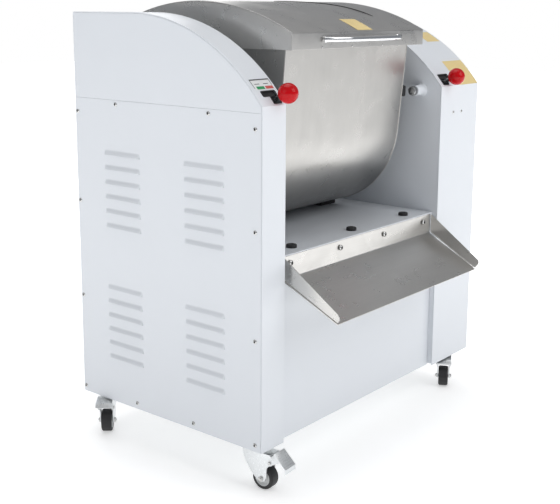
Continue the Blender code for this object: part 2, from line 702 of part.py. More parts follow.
def drive():
    """Motor, belt, layshaft and chain that turn the agitator."""
    lay = (LAY_Y, LAY_Z)
    motor = (MOTOR_Y, MOTOR_Z)
    chain_x = SPROCKET_X
    belt_x = (PULLEY_X[0] + 0.002, PULLEY_X[1] - 0.002)
    band("drive_chain", ((AXIS_Y, AXIS_Z), SPROCKET_R), (lay, LAY_SPROCKET_R), *chain_x, "turned_steel")
    band("drive_belt", (lay, LAY_PULLEY_R), (motor, MOTOR_PULLEY_R), *belt_x, "black_rubber")
    r = LAY_D / 2
    steps = [(0.010, 0.0), (0.010, r), (PULLEY_X[0], r), (PULLEY_X[0], LAY_PULLEY_R)]
    steps += [(PULLEY_X[1], LAY_PULLEY_R), (PULLEY_X[1], r), (SPROCKET_X[0], r)]
    steps += [(SPROCKET_X[0], LAY_SPROCKET_R), (SPROCKET_X[1], LAY_SPROCKET_R), (SPROCKET_X[1], r)]
    steps += [(LAY_END_X, r), (LAY_END_X, 0.0)]
    make("layshaft", *spindle(steps, (0.0, LAY_Y, LAY_Z), 36), "turned_steel", (PULLEY_X[0], LAY_Y, LAY_Z))
    low = FOOT_Z + PAN_T + GAP
    block_x0, block_x1, reach = LAY_BLOCK
    block_low = (block_x0, LAY_Y - reach, low)
    block_high = (block_x1, LAY_Y + reach, LAY_Z + reach)
    block = make("layshaft_bearing", *box(block_low, block_high), "cast_iron")
    bore = rod((block_x0 - 0.01, LAY_Y, LAY_Z), (block_x1 + 0.01, LAY_Y, LAY_Z), r + GAP, 32)
    combine(block, bore, "DIFFERENCE")
    pulley = [(PULLEY_X[0], 0.0), (PULLEY_X[0], MOTOR_PULLEY_R), (PULLEY_X[1], MOTOR_PULLEY_R)]
    pulley += [(PULLEY_X[1], 0.012), (MOTOR_X - GAP, 0.012), (MOTOR_X - GAP, 0.0)]
    wheel = spindle(pulley, (0.0, MOTOR_Y, MOTOR_Z), 32)
    make("motor_pulley", *wheel, "turned_steel", (PULLEY_X[0], MOTOR_Y, MOTOR_Z))
    body = make("motor", *spindle(motor_steps(), (MOTOR_X, MOTOR_Y, MOTOR_Z), 32), "cast_iron")
    seat_low = MOTOR_Z - MOTOR_R - 0.004
    terminal = box((MOTOR_X + 0.070, MOTOR_Y - 0.035, MOTOR_Z + 0.060),
                   (MOTOR_X + 0.160, MOTOR_Y + 0.035, MOTOR_Z + MOTOR_R + 0.040))
    feet_high = (MOTOR_X + 0.200, MOTOR_Y + 0.060, MOTOR_Z - 0.055)
    feet = box((MOTOR_X + 0.030, MOTOR_Y - 0.060, seat_low), feet_high)
    combine(body, joined([terminal, feet]), "UNION")
    seat = box((MOTOR_X + 0.010, MOTOR_Y - 0.080, low), (MOTOR_X + 0.220, MOTOR_Y + 0.080, seat_low - GAP))
    make("motor_seat", *seat, "zinc")


def motor_steps():
    """The motor's turned outline: end bells, body and fan cowl."""
    end = MOTOR_L
    r = MOTOR_R
    return [
        (0.0, 0.0), (0.0, r * 0.45), (0.012, r * 0.75), (0.025, r * 0.94), (0.030, r),
        (end - 0.070, r), (end - 0.070, r * 0.93), (end - 0.008, r * 0.93), (end, r * 0.82), (end, 0.0),
    ]


def spindle(profile, centre, sides):
    """A solid turned about x from (x, radius) points that start and end on the axis."""
    cx, cy, cz = centre
    inner = profile[1:-1]
    rings = len(inner)
    verts = []
    for k in range(sides):
        turn = 2 * math.pi * k / sides
        verts += [(cx + a, cy + r * math.cos(turn), cz + r * math.sin(turn)) for a, r in inner]
    verts += [(cx + profile[0][0], cy, cz), (cx + profile[-1][0], cy, cz)]
    first = sides * rings
    faces = []
    for k in range(sides):
        nxt = (k + 1) % sides
        for i in range(rings - 1):
            faces.append((k * rings + i, nxt * rings + i, nxt * rings + i + 1, k * rings + i + 1))
        faces.append((first, nxt * rings, k * rings))
        faces.append((first + 1, k * rings + rings - 1, nxt * rings + rings - 1))
    return verts, faces


def stem_point(x, reach):
    """A point on a lever stem, this far from its rod's axis."""
    return (x, ROD_Y - reach * math.cos(STEM_ANGLE), ROD_Z + reach * math.sin(STEM_ANGLE))


def levers():
    """The clutch collar on its rod, the lock pin in its boss, and their ball knobs."""
    inside = SHEET + GAP
    ends = ((inside, ROD_Y, ROD_Z), (LEFT_W - SHEET - GAP, ROD_Y, ROD_Z))
    make("clutch_rod", *rod(*ends, ROD_D / 2, 28), "turned_steel")
    start, end = CLUTCH_X - 0.008, CLUTCH_X + 0.008
    collar = tube((start, ROD_Y, ROD_Z), (end, ROD_Y, ROD_Z), 0.014, ROD_D / 2 + GAP, 28)
    lever = make("clutch_lever", *collar, "turned_steel")
    top = KNOB_REACH - KNOB_D / 2 - GAP
    combine(lever, rod(stem_point(CLUTCH_X, 0.0115), stem_point(CLUTCH_X, top), STEM_D / 2, 20), "UNION")
    make("clutch_knob", *ball(stem_point(CLUTCH_X, KNOB_REACH), KNOB_D / 2), "red_plastic")
    ends = ((BOSS_END_X + 0.0005, ROD_Y, ROD_Z), (LOCK_X + 0.050, ROD_Y, ROD_Z))
    pin = make("lock_pin", *rod(*ends, ROD_D / 2, 28), "turned_steel")
    combine(pin, rod(stem_point(LOCK_X, 0.002), stem_point(LOCK_X, top), STEM_D / 2, 20), "UNION")
    make("lock_knob", *ball(stem_point(LOCK_X, KNOB_REACH), KNOB_D / 2), "red_plastic")
    bore = ROD_D / 2 + GAP
    length = INNER_R - GAP - BOSS_END_X
    steps = [(0.0, bore), (length, bore), (length, 0.020), (length - 0.004, 0.020)]
    steps += [(length - 0.004, BOSS_D / 2), (0.0, BOSS_D / 2)]
    make("lock_boss", *turned(steps, (BOSS_END_X, ROD_Y, ROD_Z), (1, 0, 0), 36), "white_paint")


def caster_frame(name):
    """A function that takes (trail, side, z) of this caster to the machine frame."""
    x, y, heading = CASTERS[name]
    trail = (math.cos(heading), math.sin(heading))
    side = (-trail[1], trail[0])

    def point(t, w, z):
        return (x + t * trail[0] + w * side[0], y + t * trail[1] + w * side[1], z)

    return point


def across(point, outline, w0, w1):
    """A (trail, z) outline swept sideways in a caster's frame."""
    low = [point(t, w0, z) for t, z in outline]
    high = [point(t, w1, z) for t, z in outline]
    return prism(outline, low, high)


def caster(name):
    """One braked swivel caster: plate, fork, wheel and pedal."""
    point = caster_frame(name)
    x, y, _ = CASTERS[name]
    half = CASTER_PLATE / 2
    top = FOOT_Z - GAP
    plate_low = top - CASTER_PLATE_T
    make(f"caster_plate_{name}", *box((x - half, y - half, plate_low), (x + half, y + half, top)), "zinc")
    swivel = (x, y, 0.0)
    half_gap = FORK_GAP / 2
    half_fork = half_gap + FORK_T
    sides = [(-0.030, FORK_TOP_Z), (0.046, FORK_TOP_Z), (0.0515, 0.083), (0.0535, 0.072)]
    sides += [(0.0505, 0.0655), (0.042, 0.0625), (0.037, 0.056), (0.036, 0.034), (0.031, 0.024)]
    sides += [(0.022, 0.020), (0.012, 0.022), (-0.004, 0.036), (-0.020, 0.058), (-0.028, 0.076)]
    fork = make(f"caster_fork_{name}", *across(point, sides, -half_fork, half_fork), "zinc", swivel)
    inside = [(-0.060, -0.010), (0.080, -0.010), (0.080, FORK_TOP_Z - FORK_T), (-0.060, FORK_TOP_Z - FORK_T)]
    combine(fork, across(point, inside, -half_gap, half_gap), "DIFFERENCE")
    race = rod((x, y, FORK_TOP_Z - FORK_T / 2), (x, y, plate_low - GAP), 0.021, 24)
    axle_end = half_fork + 0.003
    axle_ends = (point(WHEEL_TRAIL, -axle_end, WHEEL_R), point(WHEEL_TRAIL, axle_end, WHEEL_R))
    axle = rod(*axle_ends, AXLE_D / 2, 12)
    pin_end = half_fork + PEDAL_EAR_T + 0.0015
    pin_ends = (point(PEDAL_PIN[0], -pin_end, PEDAL_PIN[1]), point(PEDAL_PIN[0], pin_end, PEDAL_PIN[1]))
    combine(fork, joined([race, axle, rod(*pin_ends, PEDAL_PIN_D / 2, 12)]), "UNION")
    half_w = WHEEL_W / 2
    bore = AXLE_D / 2 + GAP
    steps = [(-half_w, bore), (half_w, bore), (half_w, WHEEL_R - 0.005), (half_w - 0.003, WHEEL_R - 0.001)]
    steps += [(half_w - 0.006, WHEEL_R), (0.006 - half_w, WHEEL_R), (0.003 - half_w, WHEEL_R - 0.001)]
    steps += [(-half_w, WHEEL_R - 0.005)]
    centre = point(WHEEL_TRAIL, 0.0, WHEEL_R)
    axis = Vector(point(0, 1, 0)) - Vector(point(0, 0, 0))
    make(f"caster_wheel_{name}", *turned(steps, centre, axis, 32), "black_rubber", centre)
    pedal(name, point, half_fork)


def pedal(name, point, half_fork):
    """The brake pedal: a wide tread with a bent lip, and two ears that turn on the fork's pin."""
    pt, pz = PEDAL_PIN
    turn = PEDAL_PRESSED.get(name, 0.0)

    def pressed(outline):
        cos, sin = math.cos(turn), math.sin(turn)
        return [
            (pt + (t - pt) * cos + (z - pz) * sin, pz - (t - pt) * sin + (z - pz) * cos)
            for t, z in outline
        ]

    tread = pressed([(0.0395, 0.0992), (0.0825, 0.0965), (0.0900, 0.0880), (0.0883, 0.0865),
                     (0.0814, 0.0943), (0.0395, 0.0969)])
    half = PEDAL_W / 2
    piece = make(f"caster_pedal_{name}", *across(point, tread, -half, half), "zinc", point(pt, 0.0, pz))
    eye = arc(PEDAL_PIN, 0.0068, math.pi, math.radians(370), 8)
    ear = pressed(eye + [(0.0640, 0.0965), (0.0402, 0.0980)])
    inner = half_fork + GAP
    outer = inner + PEDAL_EAR_T
    ears = [across(point, ear, inner, outer), across(point, ear, -outer, -inner)]
    combine(piece, joined(ears), "UNION")
    hole = rod(point(pt, -half - 0.002, pz), point(pt, half + 0.002, pz), PEDAL_PIN_D / 2 + GAP, 12)
    combine(piece, hole, "DIFFERENCE")


def main():
    """Builds every piece of the mixer."""
    clear_scene()
    towers()
    cabinet()
    chute()
    trough()
    lid()
    bearings()
    agitator()
    drive()
    levers()
    for name in CASTERS:
        caster(name)


main()
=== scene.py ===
"""Looks for a tilting-trough dough mixer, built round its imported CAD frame.

Machine frame used below: x from the left tower's outer face to the right, y from the towers'
front faces to the rear, z up from the floor, in metres. SHIFT takes it to the frame's axes.
"""

import json
import math

import bmesh
import bpy
import numpy as np
from bpy.props import FloatProperty, FloatVectorProperty, PointerProperty
from mathutils import Euler, Matrix, Vector


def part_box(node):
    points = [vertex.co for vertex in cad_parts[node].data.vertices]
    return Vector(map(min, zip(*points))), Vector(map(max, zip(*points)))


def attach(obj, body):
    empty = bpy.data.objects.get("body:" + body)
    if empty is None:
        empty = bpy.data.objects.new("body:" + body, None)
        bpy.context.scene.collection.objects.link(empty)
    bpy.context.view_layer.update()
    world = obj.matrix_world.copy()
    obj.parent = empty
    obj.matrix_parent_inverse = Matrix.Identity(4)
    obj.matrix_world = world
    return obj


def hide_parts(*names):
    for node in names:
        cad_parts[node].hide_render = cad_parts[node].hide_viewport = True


bl_info = {
    "name": "Tilting Trough Dough Mixer",
    "version": (1, 0, 0),
    "blender": (4, 5, 0),
    "location": "View3D > Sidebar > Mixer",
    "description": "Builds the visible pieces of a trough dough mixer round its frame",
    "category": "Object",
}

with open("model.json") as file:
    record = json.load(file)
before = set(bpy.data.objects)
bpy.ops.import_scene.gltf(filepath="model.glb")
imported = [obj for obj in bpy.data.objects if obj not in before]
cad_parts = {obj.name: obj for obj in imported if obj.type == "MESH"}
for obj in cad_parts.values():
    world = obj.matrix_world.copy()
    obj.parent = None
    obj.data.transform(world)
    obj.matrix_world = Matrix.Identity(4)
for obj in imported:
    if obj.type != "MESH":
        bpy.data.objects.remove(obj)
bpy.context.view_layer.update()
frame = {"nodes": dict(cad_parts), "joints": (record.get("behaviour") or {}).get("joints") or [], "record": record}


def corner_of_machine():
    """The row-frame point that the machine frame starts from."""
    return np.array((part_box("left_tower_cap")[0].x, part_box("left_tower_wrap")[0].y, 0.0))


SHIFT = corner_of_machine()


def low_of(node):
    """A node's lowest corner in the machine frame."""
    return np.array(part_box(node)[0]) - SHIFT


def high_of(node):
    """A node's highest corner in the machine frame."""
    return np.array(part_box(node)[1]) - SHIFT


def joint_point(name):
    """Where a joint's axis passes, in the machine frame."""
    found = [j for j in frame["joints"] if j["name"] == name]
    return np.array(found[0]["pos_m"]) - SHIFT


# Places read from the frame.
FOOT_Z = low_of("left_tower_wrap")[2]
TOP_Z = high_of("left_tower_wrap")[2]
DEPTH = high_of("left_tower_wrap")[1]
WIDTH = high_of("right_tower_cap")[0]
BAY_LEFT = high_of("left_tower_inner_wall")[0]
BAY_RIGHT = low_of("right_tower_inner_wall")[0]
SEAM_Z = low_of("left_tower_cap")[2]
DECK_Z = high_of("deck_plate")[2]
AXIS = joint_point("trough_tilt")
LID_LOW, LID_HIGH = low_of("lid"), high_of("lid")
CHUTE_LOW, CHUTE_HIGH = low_of("discharge_chute"), high_of("discharge_chute")
BAY_MID = AXIS[0]

# Sizes that the frame doesn't state, in metres.
SHEET = 0.0025
EDGE = 0.0028
ARC_R = 0.486
ARC_Y = 0.384
TROUGH_R = 0.230
TROUGH_HALF = 0.2485
TROUGH_SHEET = 0.003
RIM_Z = 1.004
FLARE = math.radians(5.5)
LID_R = 0.620
LID_CREST_Y = 0.310
ROD_Y, ROD_Z = 0.060, 0.855
STEM_ANGLE = math.radians(24.5)
KNOB_REACH = 0.089
CLUTCH_X, LOCK_X = 0.058, 0.762
SLOT_LOW, SLOT_STEP, SLOT_HIGH = 0.870, 0.885, 0.895
SLOTS = {"left": (0.067, 0.0215, 0.042), "right": (0.741, 0.788, 0.768)}
CHUTE_SLOPE = math.radians(27.0)
WHEEL_R, WHEEL_W = 0.028, 0.027
PEDAL_PRESSED = {"front_left": math.radians(40.0)}
CASTERS = ("front_left", "front_right", "rear_left", "rear_right")
LOUVRE_STARTS = (0.107, 0.369)
LOUVRE_TOPS = (0.720, 0.391)
LOUVRE_L, LOUVRE_PITCH, LOUVRE_ROWS = 0.120, 0.0352, 6


# ---------------------------------------------------------------- mesh toolkit


class Shell:
    """Points and faces gathered from grids, as whole arrays."""

    def __init__(self):
        self.points = []
        self.faces = []
        self.slots = []
        self.count = 0

    def grid(self, points, wrap=(False, False), caps=False, keep=None, slot=0):
        """Quads between neighbours of a rows x columns x 3 array; wrap joins the last row or
        column to the first, caps closes the first and last rows, keep drops cells."""
        points = np.asarray(points, float)
        rows, cols = points.shape[:2]
        i = np.arange(rows if wrap[0] else rows - 1)[:, None]
        j = np.arange(cols if wrap[1] else cols - 1)[None, :]
        i_next, j_next = (i + 1) % rows, (j + 1) % cols
        quads = np.stack(
            np.broadcast_arrays(
                i * cols + j, i * cols + j_next, i_next * cols + j_next, i_next * cols + j
            ),
            -1,
        )
        quads = quads[keep] if keep is not None else quads.reshape(-1, 4)
        faces = (quads + self.count).tolist()
        if caps:
            ring = np.arange(cols) + self.count
            faces += [ring[::-1].tolist(), (ring + (rows - 1) * cols).tolist()]
        self.points.append(points.reshape(-1, 3))
        self.faces += faces
        self.slots += [slot] * len(faces)
        self.count += rows * cols
        return self

    def prism(self, low, high, slot=0):
        """A closed solid between two rings of points."""
        return self.grid(np.stack((low, high)), (False, True), True, slot=slot)

    def box(self, low, high, slot=0):
        """A closed block between two corners."""
        (x0, y0, z0), (x1, y1, z1) = low, high
        ring = np.array(((0, y0, z0), (0, y1, z0), (0, y1, z1), (0, y0, z1)))
        return self.prism(ring + (x0, 0, 0), ring + (x1, 0, 0), slot)


def basis(axis, up=None):
    """Two unit vectors square to an axis, the first nearest to up."""
    axis = np.asarray(axis, float) / np.linalg.norm(axis)
    if up is None:
        up = (0.0, 0.0, 1.0) if abs(axis[2]) < 0.9 else (1.0, 0.0, 0.0)
    side = np.asarray(up, float) - axis * np.dot(up, axis)
    side /= np.linalg.norm(side)
    return axis, side, np.cross(axis, side)


def turned(profile, centre, axis, sides=48, start=0.0):
    """A surface of revolution: each profile point (distance along the axis, radius) goes to
    centre + axis * distance + radius * (cos of the turn * side + sin of the turn * other)."""
    axis, side, other = basis(axis)
    profile = np.asarray(profile, float)
    turn = start + np.linspace(0.0, 2 * np.pi, sides, endpoint=False)[:, None, None]
    out = np.cos(turn) * side + np.sin(turn) * other
    return np.asarray(centre) + axis * profile[None, :, :1] + out * profile[None, :, 1:]


def carried(section, path, up, closed=False):
    """A section (across, up) carried along a path: each point is the path point plus across
    times the side vector plus up times the up vector, both square to the path's slope."""
    path = np.asarray(path, float)
    if closed:
        along = np.roll(path, -1, 0) - np.roll(path, 1, 0)
    else:
        along = np.gradient(path, axis=0)
    along /= np.linalg.norm(along, axis=1)[:, None]
    up = np.broadcast_to(np.asarray(up, float), path.shape)
    up = up - along * (up * along).sum(1)[:, None]
    up /= np.linalg.norm(up, axis=1)[:, None]
    side = np.cross(along, up)
    section = np.asarray(section, float)
    return path[:, None] + section[:, :1] * side[:, None] + section[:, 1:] * up[:, None]


def ellipse(a, b, count=16, power=2.0):
    """A closed (across, up) section: a superellipse of half sizes a and b."""
    turn = np.linspace(0, 2 * np.pi, count, endpoint=False)
    c, s = np.cos(turn), np.sin(turn)
    return np.stack(
        (a * np.sign(c) * abs(c) ** (2 / power), b * np.sign(s) * abs(s) ** (2 / power)), -1
    )


def arc_points(centre, radius, start, end, steps):
    """Points (a, b) on a circle from angle start to angle end."""
    turn = np.linspace(start, end, steps + 1)
    return np.asarray(centre) + radius * np.stack((np.cos(turn), np.sin(turn)), -1)


def rounded(points, radii, steps=6):
    """An outline with each corner replaced by an arc: the arc's ends lie on the two sides at
    radius * tan(half the turn) from the corner, and its points are a quadratic blend."""
    points = np.asarray(points, float)
    radii = np.broadcast_to(radii, len(points))
    out = []
    for here, before, after, radius in zip(points, np.roll(points, 1, 0), np.roll(points, -1, 0), radii):
        if radius <= 0:
            out.append(here[None])
            continue
        a, b = before - here, after - here
        la, lb = np.linalg.norm(a), np.linalg.norm(b)
        half = math.acos(np.clip(np.dot(a, b) / (la * lb), -1, 1)) / 2
        reach = min(radius / math.tan(half), 0.49 * la, 0.49 * lb)
        p, q = here + a / la * reach, here + b / lb * reach
        middle = (a / la + b / lb) / np.linalg.norm(a / la + b / lb)
        centre = here + middle * reach / math.cos(half)
        r = reach * math.tan(half)
        t = np.linspace(0, 1, steps + 1)[:, None]
        ring = p * (1 - t) + q * t - centre
        out.append(centre + ring / np.linalg.norm(ring, axis=1)[:, None] * r)
    return np.concatenate(out)


def offset_sheet(path, thickness):
    """A closed outline of an open (a, b) path and its copy moved to the right by thickness
    along the mean of the neighbouring normals."""
    path = np.asarray(path, float)
    step = np.diff(path, axis=0)
    step /= np.linalg.norm(step, axis=1)[:, None]
    normal = np.stack((step[:, 1], -step[:, 0]), -1)
    mean = np.concatenate((normal[:1], normal[:-1] + normal[1:], normal[-1:]))
    mean[1:-1] /= (1 + (normal[:-1] * normal[1:]).sum(1))[:, None]
    return np.concatenate((path, (path + mean * thickness)[::-1]))


def along_x(outline, x0, x1):
    """Two rings of a (y, z) outline, at x0 and x1."""
    outline = np.asarray(outline, float)
    ring = np.insert(outline, 0, 0.0, axis=1)
    return ring + (x0, 0, 0), ring + (x1, 0, 0)


def piece(name, shell, finishes, body, replaces=(), bevel=0.0, segments=2, angle=32.0):
    """One finished object from a shell, riding on its body."""
    mesh = bpy.data.meshes.new(name)
    mesh.from_pydata(np.concatenate(shell.points) + SHIFT, [], shell.faces)
    for finish in finishes if isinstance(finishes, (list, tuple)) else [finishes]:
        mesh.materials.append(finish)
    mesh.polygons.foreach_set("material_index", np.array(shell.slots, np.int32))
    return settle(name, mesh, body, replaces, bevel, segments, angle)


def settle(name, mesh, body, replaces, bevel, segments, angle, recalc=True):
    """Merges doubles, turns faces outwards, smooths, rounds edges and hangs it on its body."""
    shape = bmesh.new()
    shape.from_mesh(mesh)
    bmesh.ops.remove_doubles(shape, verts=shape.verts, dist=2e-6)
    bmesh.ops.dissolve_degenerate(shape, edges=shape.edges, dist=1e-7)
    if not recalc:
        bmesh.ops.dissolve_limit(
            shape, angle_limit=math.radians(0.2), verts=shape.verts, edges=shape.edges
        )
    bmesh.ops.recalc_face_normals(shape, faces=shape.faces)
    shape.to_mesh(mesh)
    shape.free()
    mesh.shade_smooth()
    obj = bpy.data.objects.new(name, mesh)
    bpy.context.scene.collection.objects.link(obj)
    if bevel:
        step = obj.modifiers.new("edge_radius", "BEVEL")
        step.width = bevel
        step.segments = segments
        step.limit_method = "ANGLE"
        step.angle_limit = math.radians(angle)
        step.harden_normals = True
        step.miter_outer = "MITER_ARC"
    else:
        mesh.set_sharp_from_angle(angle=math.radians(angle))
    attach(obj, body)
    if replaces:
        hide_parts(*([replaces] if isinstance(replaces, str) else replaces))
    return obj


def finished_copy(node, name, finish, bevel=0.0006, segments=2, angle=32.0):
    """A copy of a CAD node with its loose triangles merged into plane faces and its edges
    rounded, standing for the node."""
    source = frame["nodes"][node]
    mesh = source.data.copy()
    mesh.name = name
    mesh.materials.clear()
    mesh.materials.append(finish)
    body = next(b for b, nodes in frame["record"]["behaviour"]["bodies"].items() if node in nodes)
    return settle(name, mesh, body, node, bevel, segments, angle, recalc=False)


def repaint(finish, *nodes):
    """Gives CAD nodes a finish, without touching their meshes."""
    for node in nodes:
        mesh = frame["nodes"][node].data
        mesh.materials.clear()
        mesh.materials.append(finish)


# ---------------------------------------------------------------- shader groups


def new_node(tree, kind, inputs=(), **settings):
    """A node with its settings, its sockets set to values or joined to other sockets."""
    made = tree.nodes.new(kind)
    for key, value in settings.items():
        setattr(made, key, value)
    for key, value in dict(inputs).items():
        if isinstance(value, bpy.types.NodeSocket):
            tree.links.new(value, made.inputs[key])
        else:
            made.inputs[key].default_value = value
    return made


def new_group(name, inputs, outputs):
    """An empty shader group with named sockets, and its input and output nodes."""
    tree = bpy.data.node_groups.new(name, "ShaderNodeTree")
    for label, kind, value in inputs:
        made = tree.interface.new_socket(label, in_out="INPUT", socket_type=kind)
        if value is not None:
            made.default_value = value
    for label, kind in outputs:
        tree.interface.new_socket(label, in_out="OUTPUT", socket_type=kind)
    return tree, tree.nodes.new("NodeGroupInput"), tree.nodes.new("NodeGroupOutput")


def spread(tree, value, low, high, to_low=0.0, to_high=1.0):
    """Maps low..high of a value to to_low..to_high, held at the ends."""
    sockets = {"Value": value, "From Min": low, "From Max": high, "To Min": to_low, "To Max": to_high}
    return new_node(tree, "ShaderNodeMapRange", sockets).outputs["Result"]


def math_node(tree, operation, a, b=0.0):
    """One arithmetic step."""
    return new_node(tree, "ShaderNodeMath", {0: a, 1: b}, operation=operation).outputs[0]


def grain_group():
    """Streaks: noise on coordinates squeezed along the brushing direction, in two widths."""
    tree, source, sink = new_group(
        "Brushed Grain",
        [
            ("Vector", "NodeSocketVector", None),
            ("Squeeze", "NodeSocketVector", (1.0, 1.0, 1.0)),
            ("Fineness", "NodeSocketFloat", 400.0),
        ],
        [("Streaks", "NodeSocketFloat"), ("Bands", "NodeSocketFloat")],
    )
    squeezed = new_node(
        tree,
        "ShaderNodeVectorMath",
        {0: source.outputs["Vector"], 1: source.outputs["Squeeze"]},
        operation="MULTIPLY",
    ).outputs[0]
    fine = new_node(
        tree,
        "ShaderNodeTexNoise",
        {"Vector": squeezed, "Scale": source.outputs["Fineness"], "Detail": 3.0, "Roughness": 0.6},
    )
    coarse_scale = math_node(tree, "MULTIPLY", source.outputs["Fineness"], 0.09)
    coarse = new_node(
        tree, "ShaderNodeTexNoise", {"Vector": squeezed, "Scale": coarse_scale, "Detail": 2.0}
    )
    tree.links.new(spread(tree, fine.outputs["Fac"], 0.3, 0.7), sink.inputs["Streaks"])
    tree.links.new(spread(tree, coarse.outputs["Fac"], 0.3, 0.7), sink.inputs["Bands"])
    return tree


def smudge_group():
    """Smudges: slow noise, warped by a second noise, for handling marks and uneven gloss."""
    tree, source, sink = new_group(
        "Smudges",
        [("Vector", "NodeSocketVector", None), ("Scale", "NodeSocketFloat", 5.0)],
        [("Mask", "NodeSocketFloat")],
    )
    warp = new_node(
        tree,
        "ShaderNodeTexNoise",
        {"Vector": source.outputs["Vector"], "Scale": source.outputs["Scale"], "Detail": 2.0},
    )
    moved = new_node(
        tree,
        "ShaderNodeVectorMath",
        {0: source.outputs["Vector"], 1: warp.outputs["Color"]},
        operation="ADD",
    ).outputs[0]
    slow = new_node(
        tree,
        "ShaderNodeTexNoise",
        {"Vector": moved, "Scale": source.outputs["Scale"], "Detail": 5.0, "Roughness": 0.55},
    )
    tree.links.new(spread(tree, slow.outputs["Fac"], 0.32, 0.68), sink.inputs["Mask"])
    return tree


def skin_group():
    """Skin: the fine pebbling of sprayed or moulded surfaces, from two sizes of noise."""
    tree, source, sink = new_group(
        "Coating Skin",
        [("Vector", "NodeSocketVector", None), ("Scale", "NodeSocketFloat", 600.0)],
        [("Height", "NodeSocketFloat"), ("Speckle", "NodeSocketFloat")],
    )
    peel = new_node(
        tree,
        "ShaderNodeTexNoise",
        {"Vector": source.outputs["Vector"], "Scale": source.outputs["Scale"], "Detail": 1.0},
    )
    small_scale = math_node(tree, "MULTIPLY", source.outputs["Scale"], 3.1)
    small = new_node(
        tree,
        "ShaderNodeTexNoise",
        {"Vector": source.outputs["Vector"], "Scale": small_scale, "Detail": 2.0},
    )
    tree.links.new(peel.outputs["Fac"], sink.inputs["Height"])
    tree.links.new(spread(tree, small.outputs["Fac"], 0.35, 0.7), sink.inputs["Speckle"])
    return tree


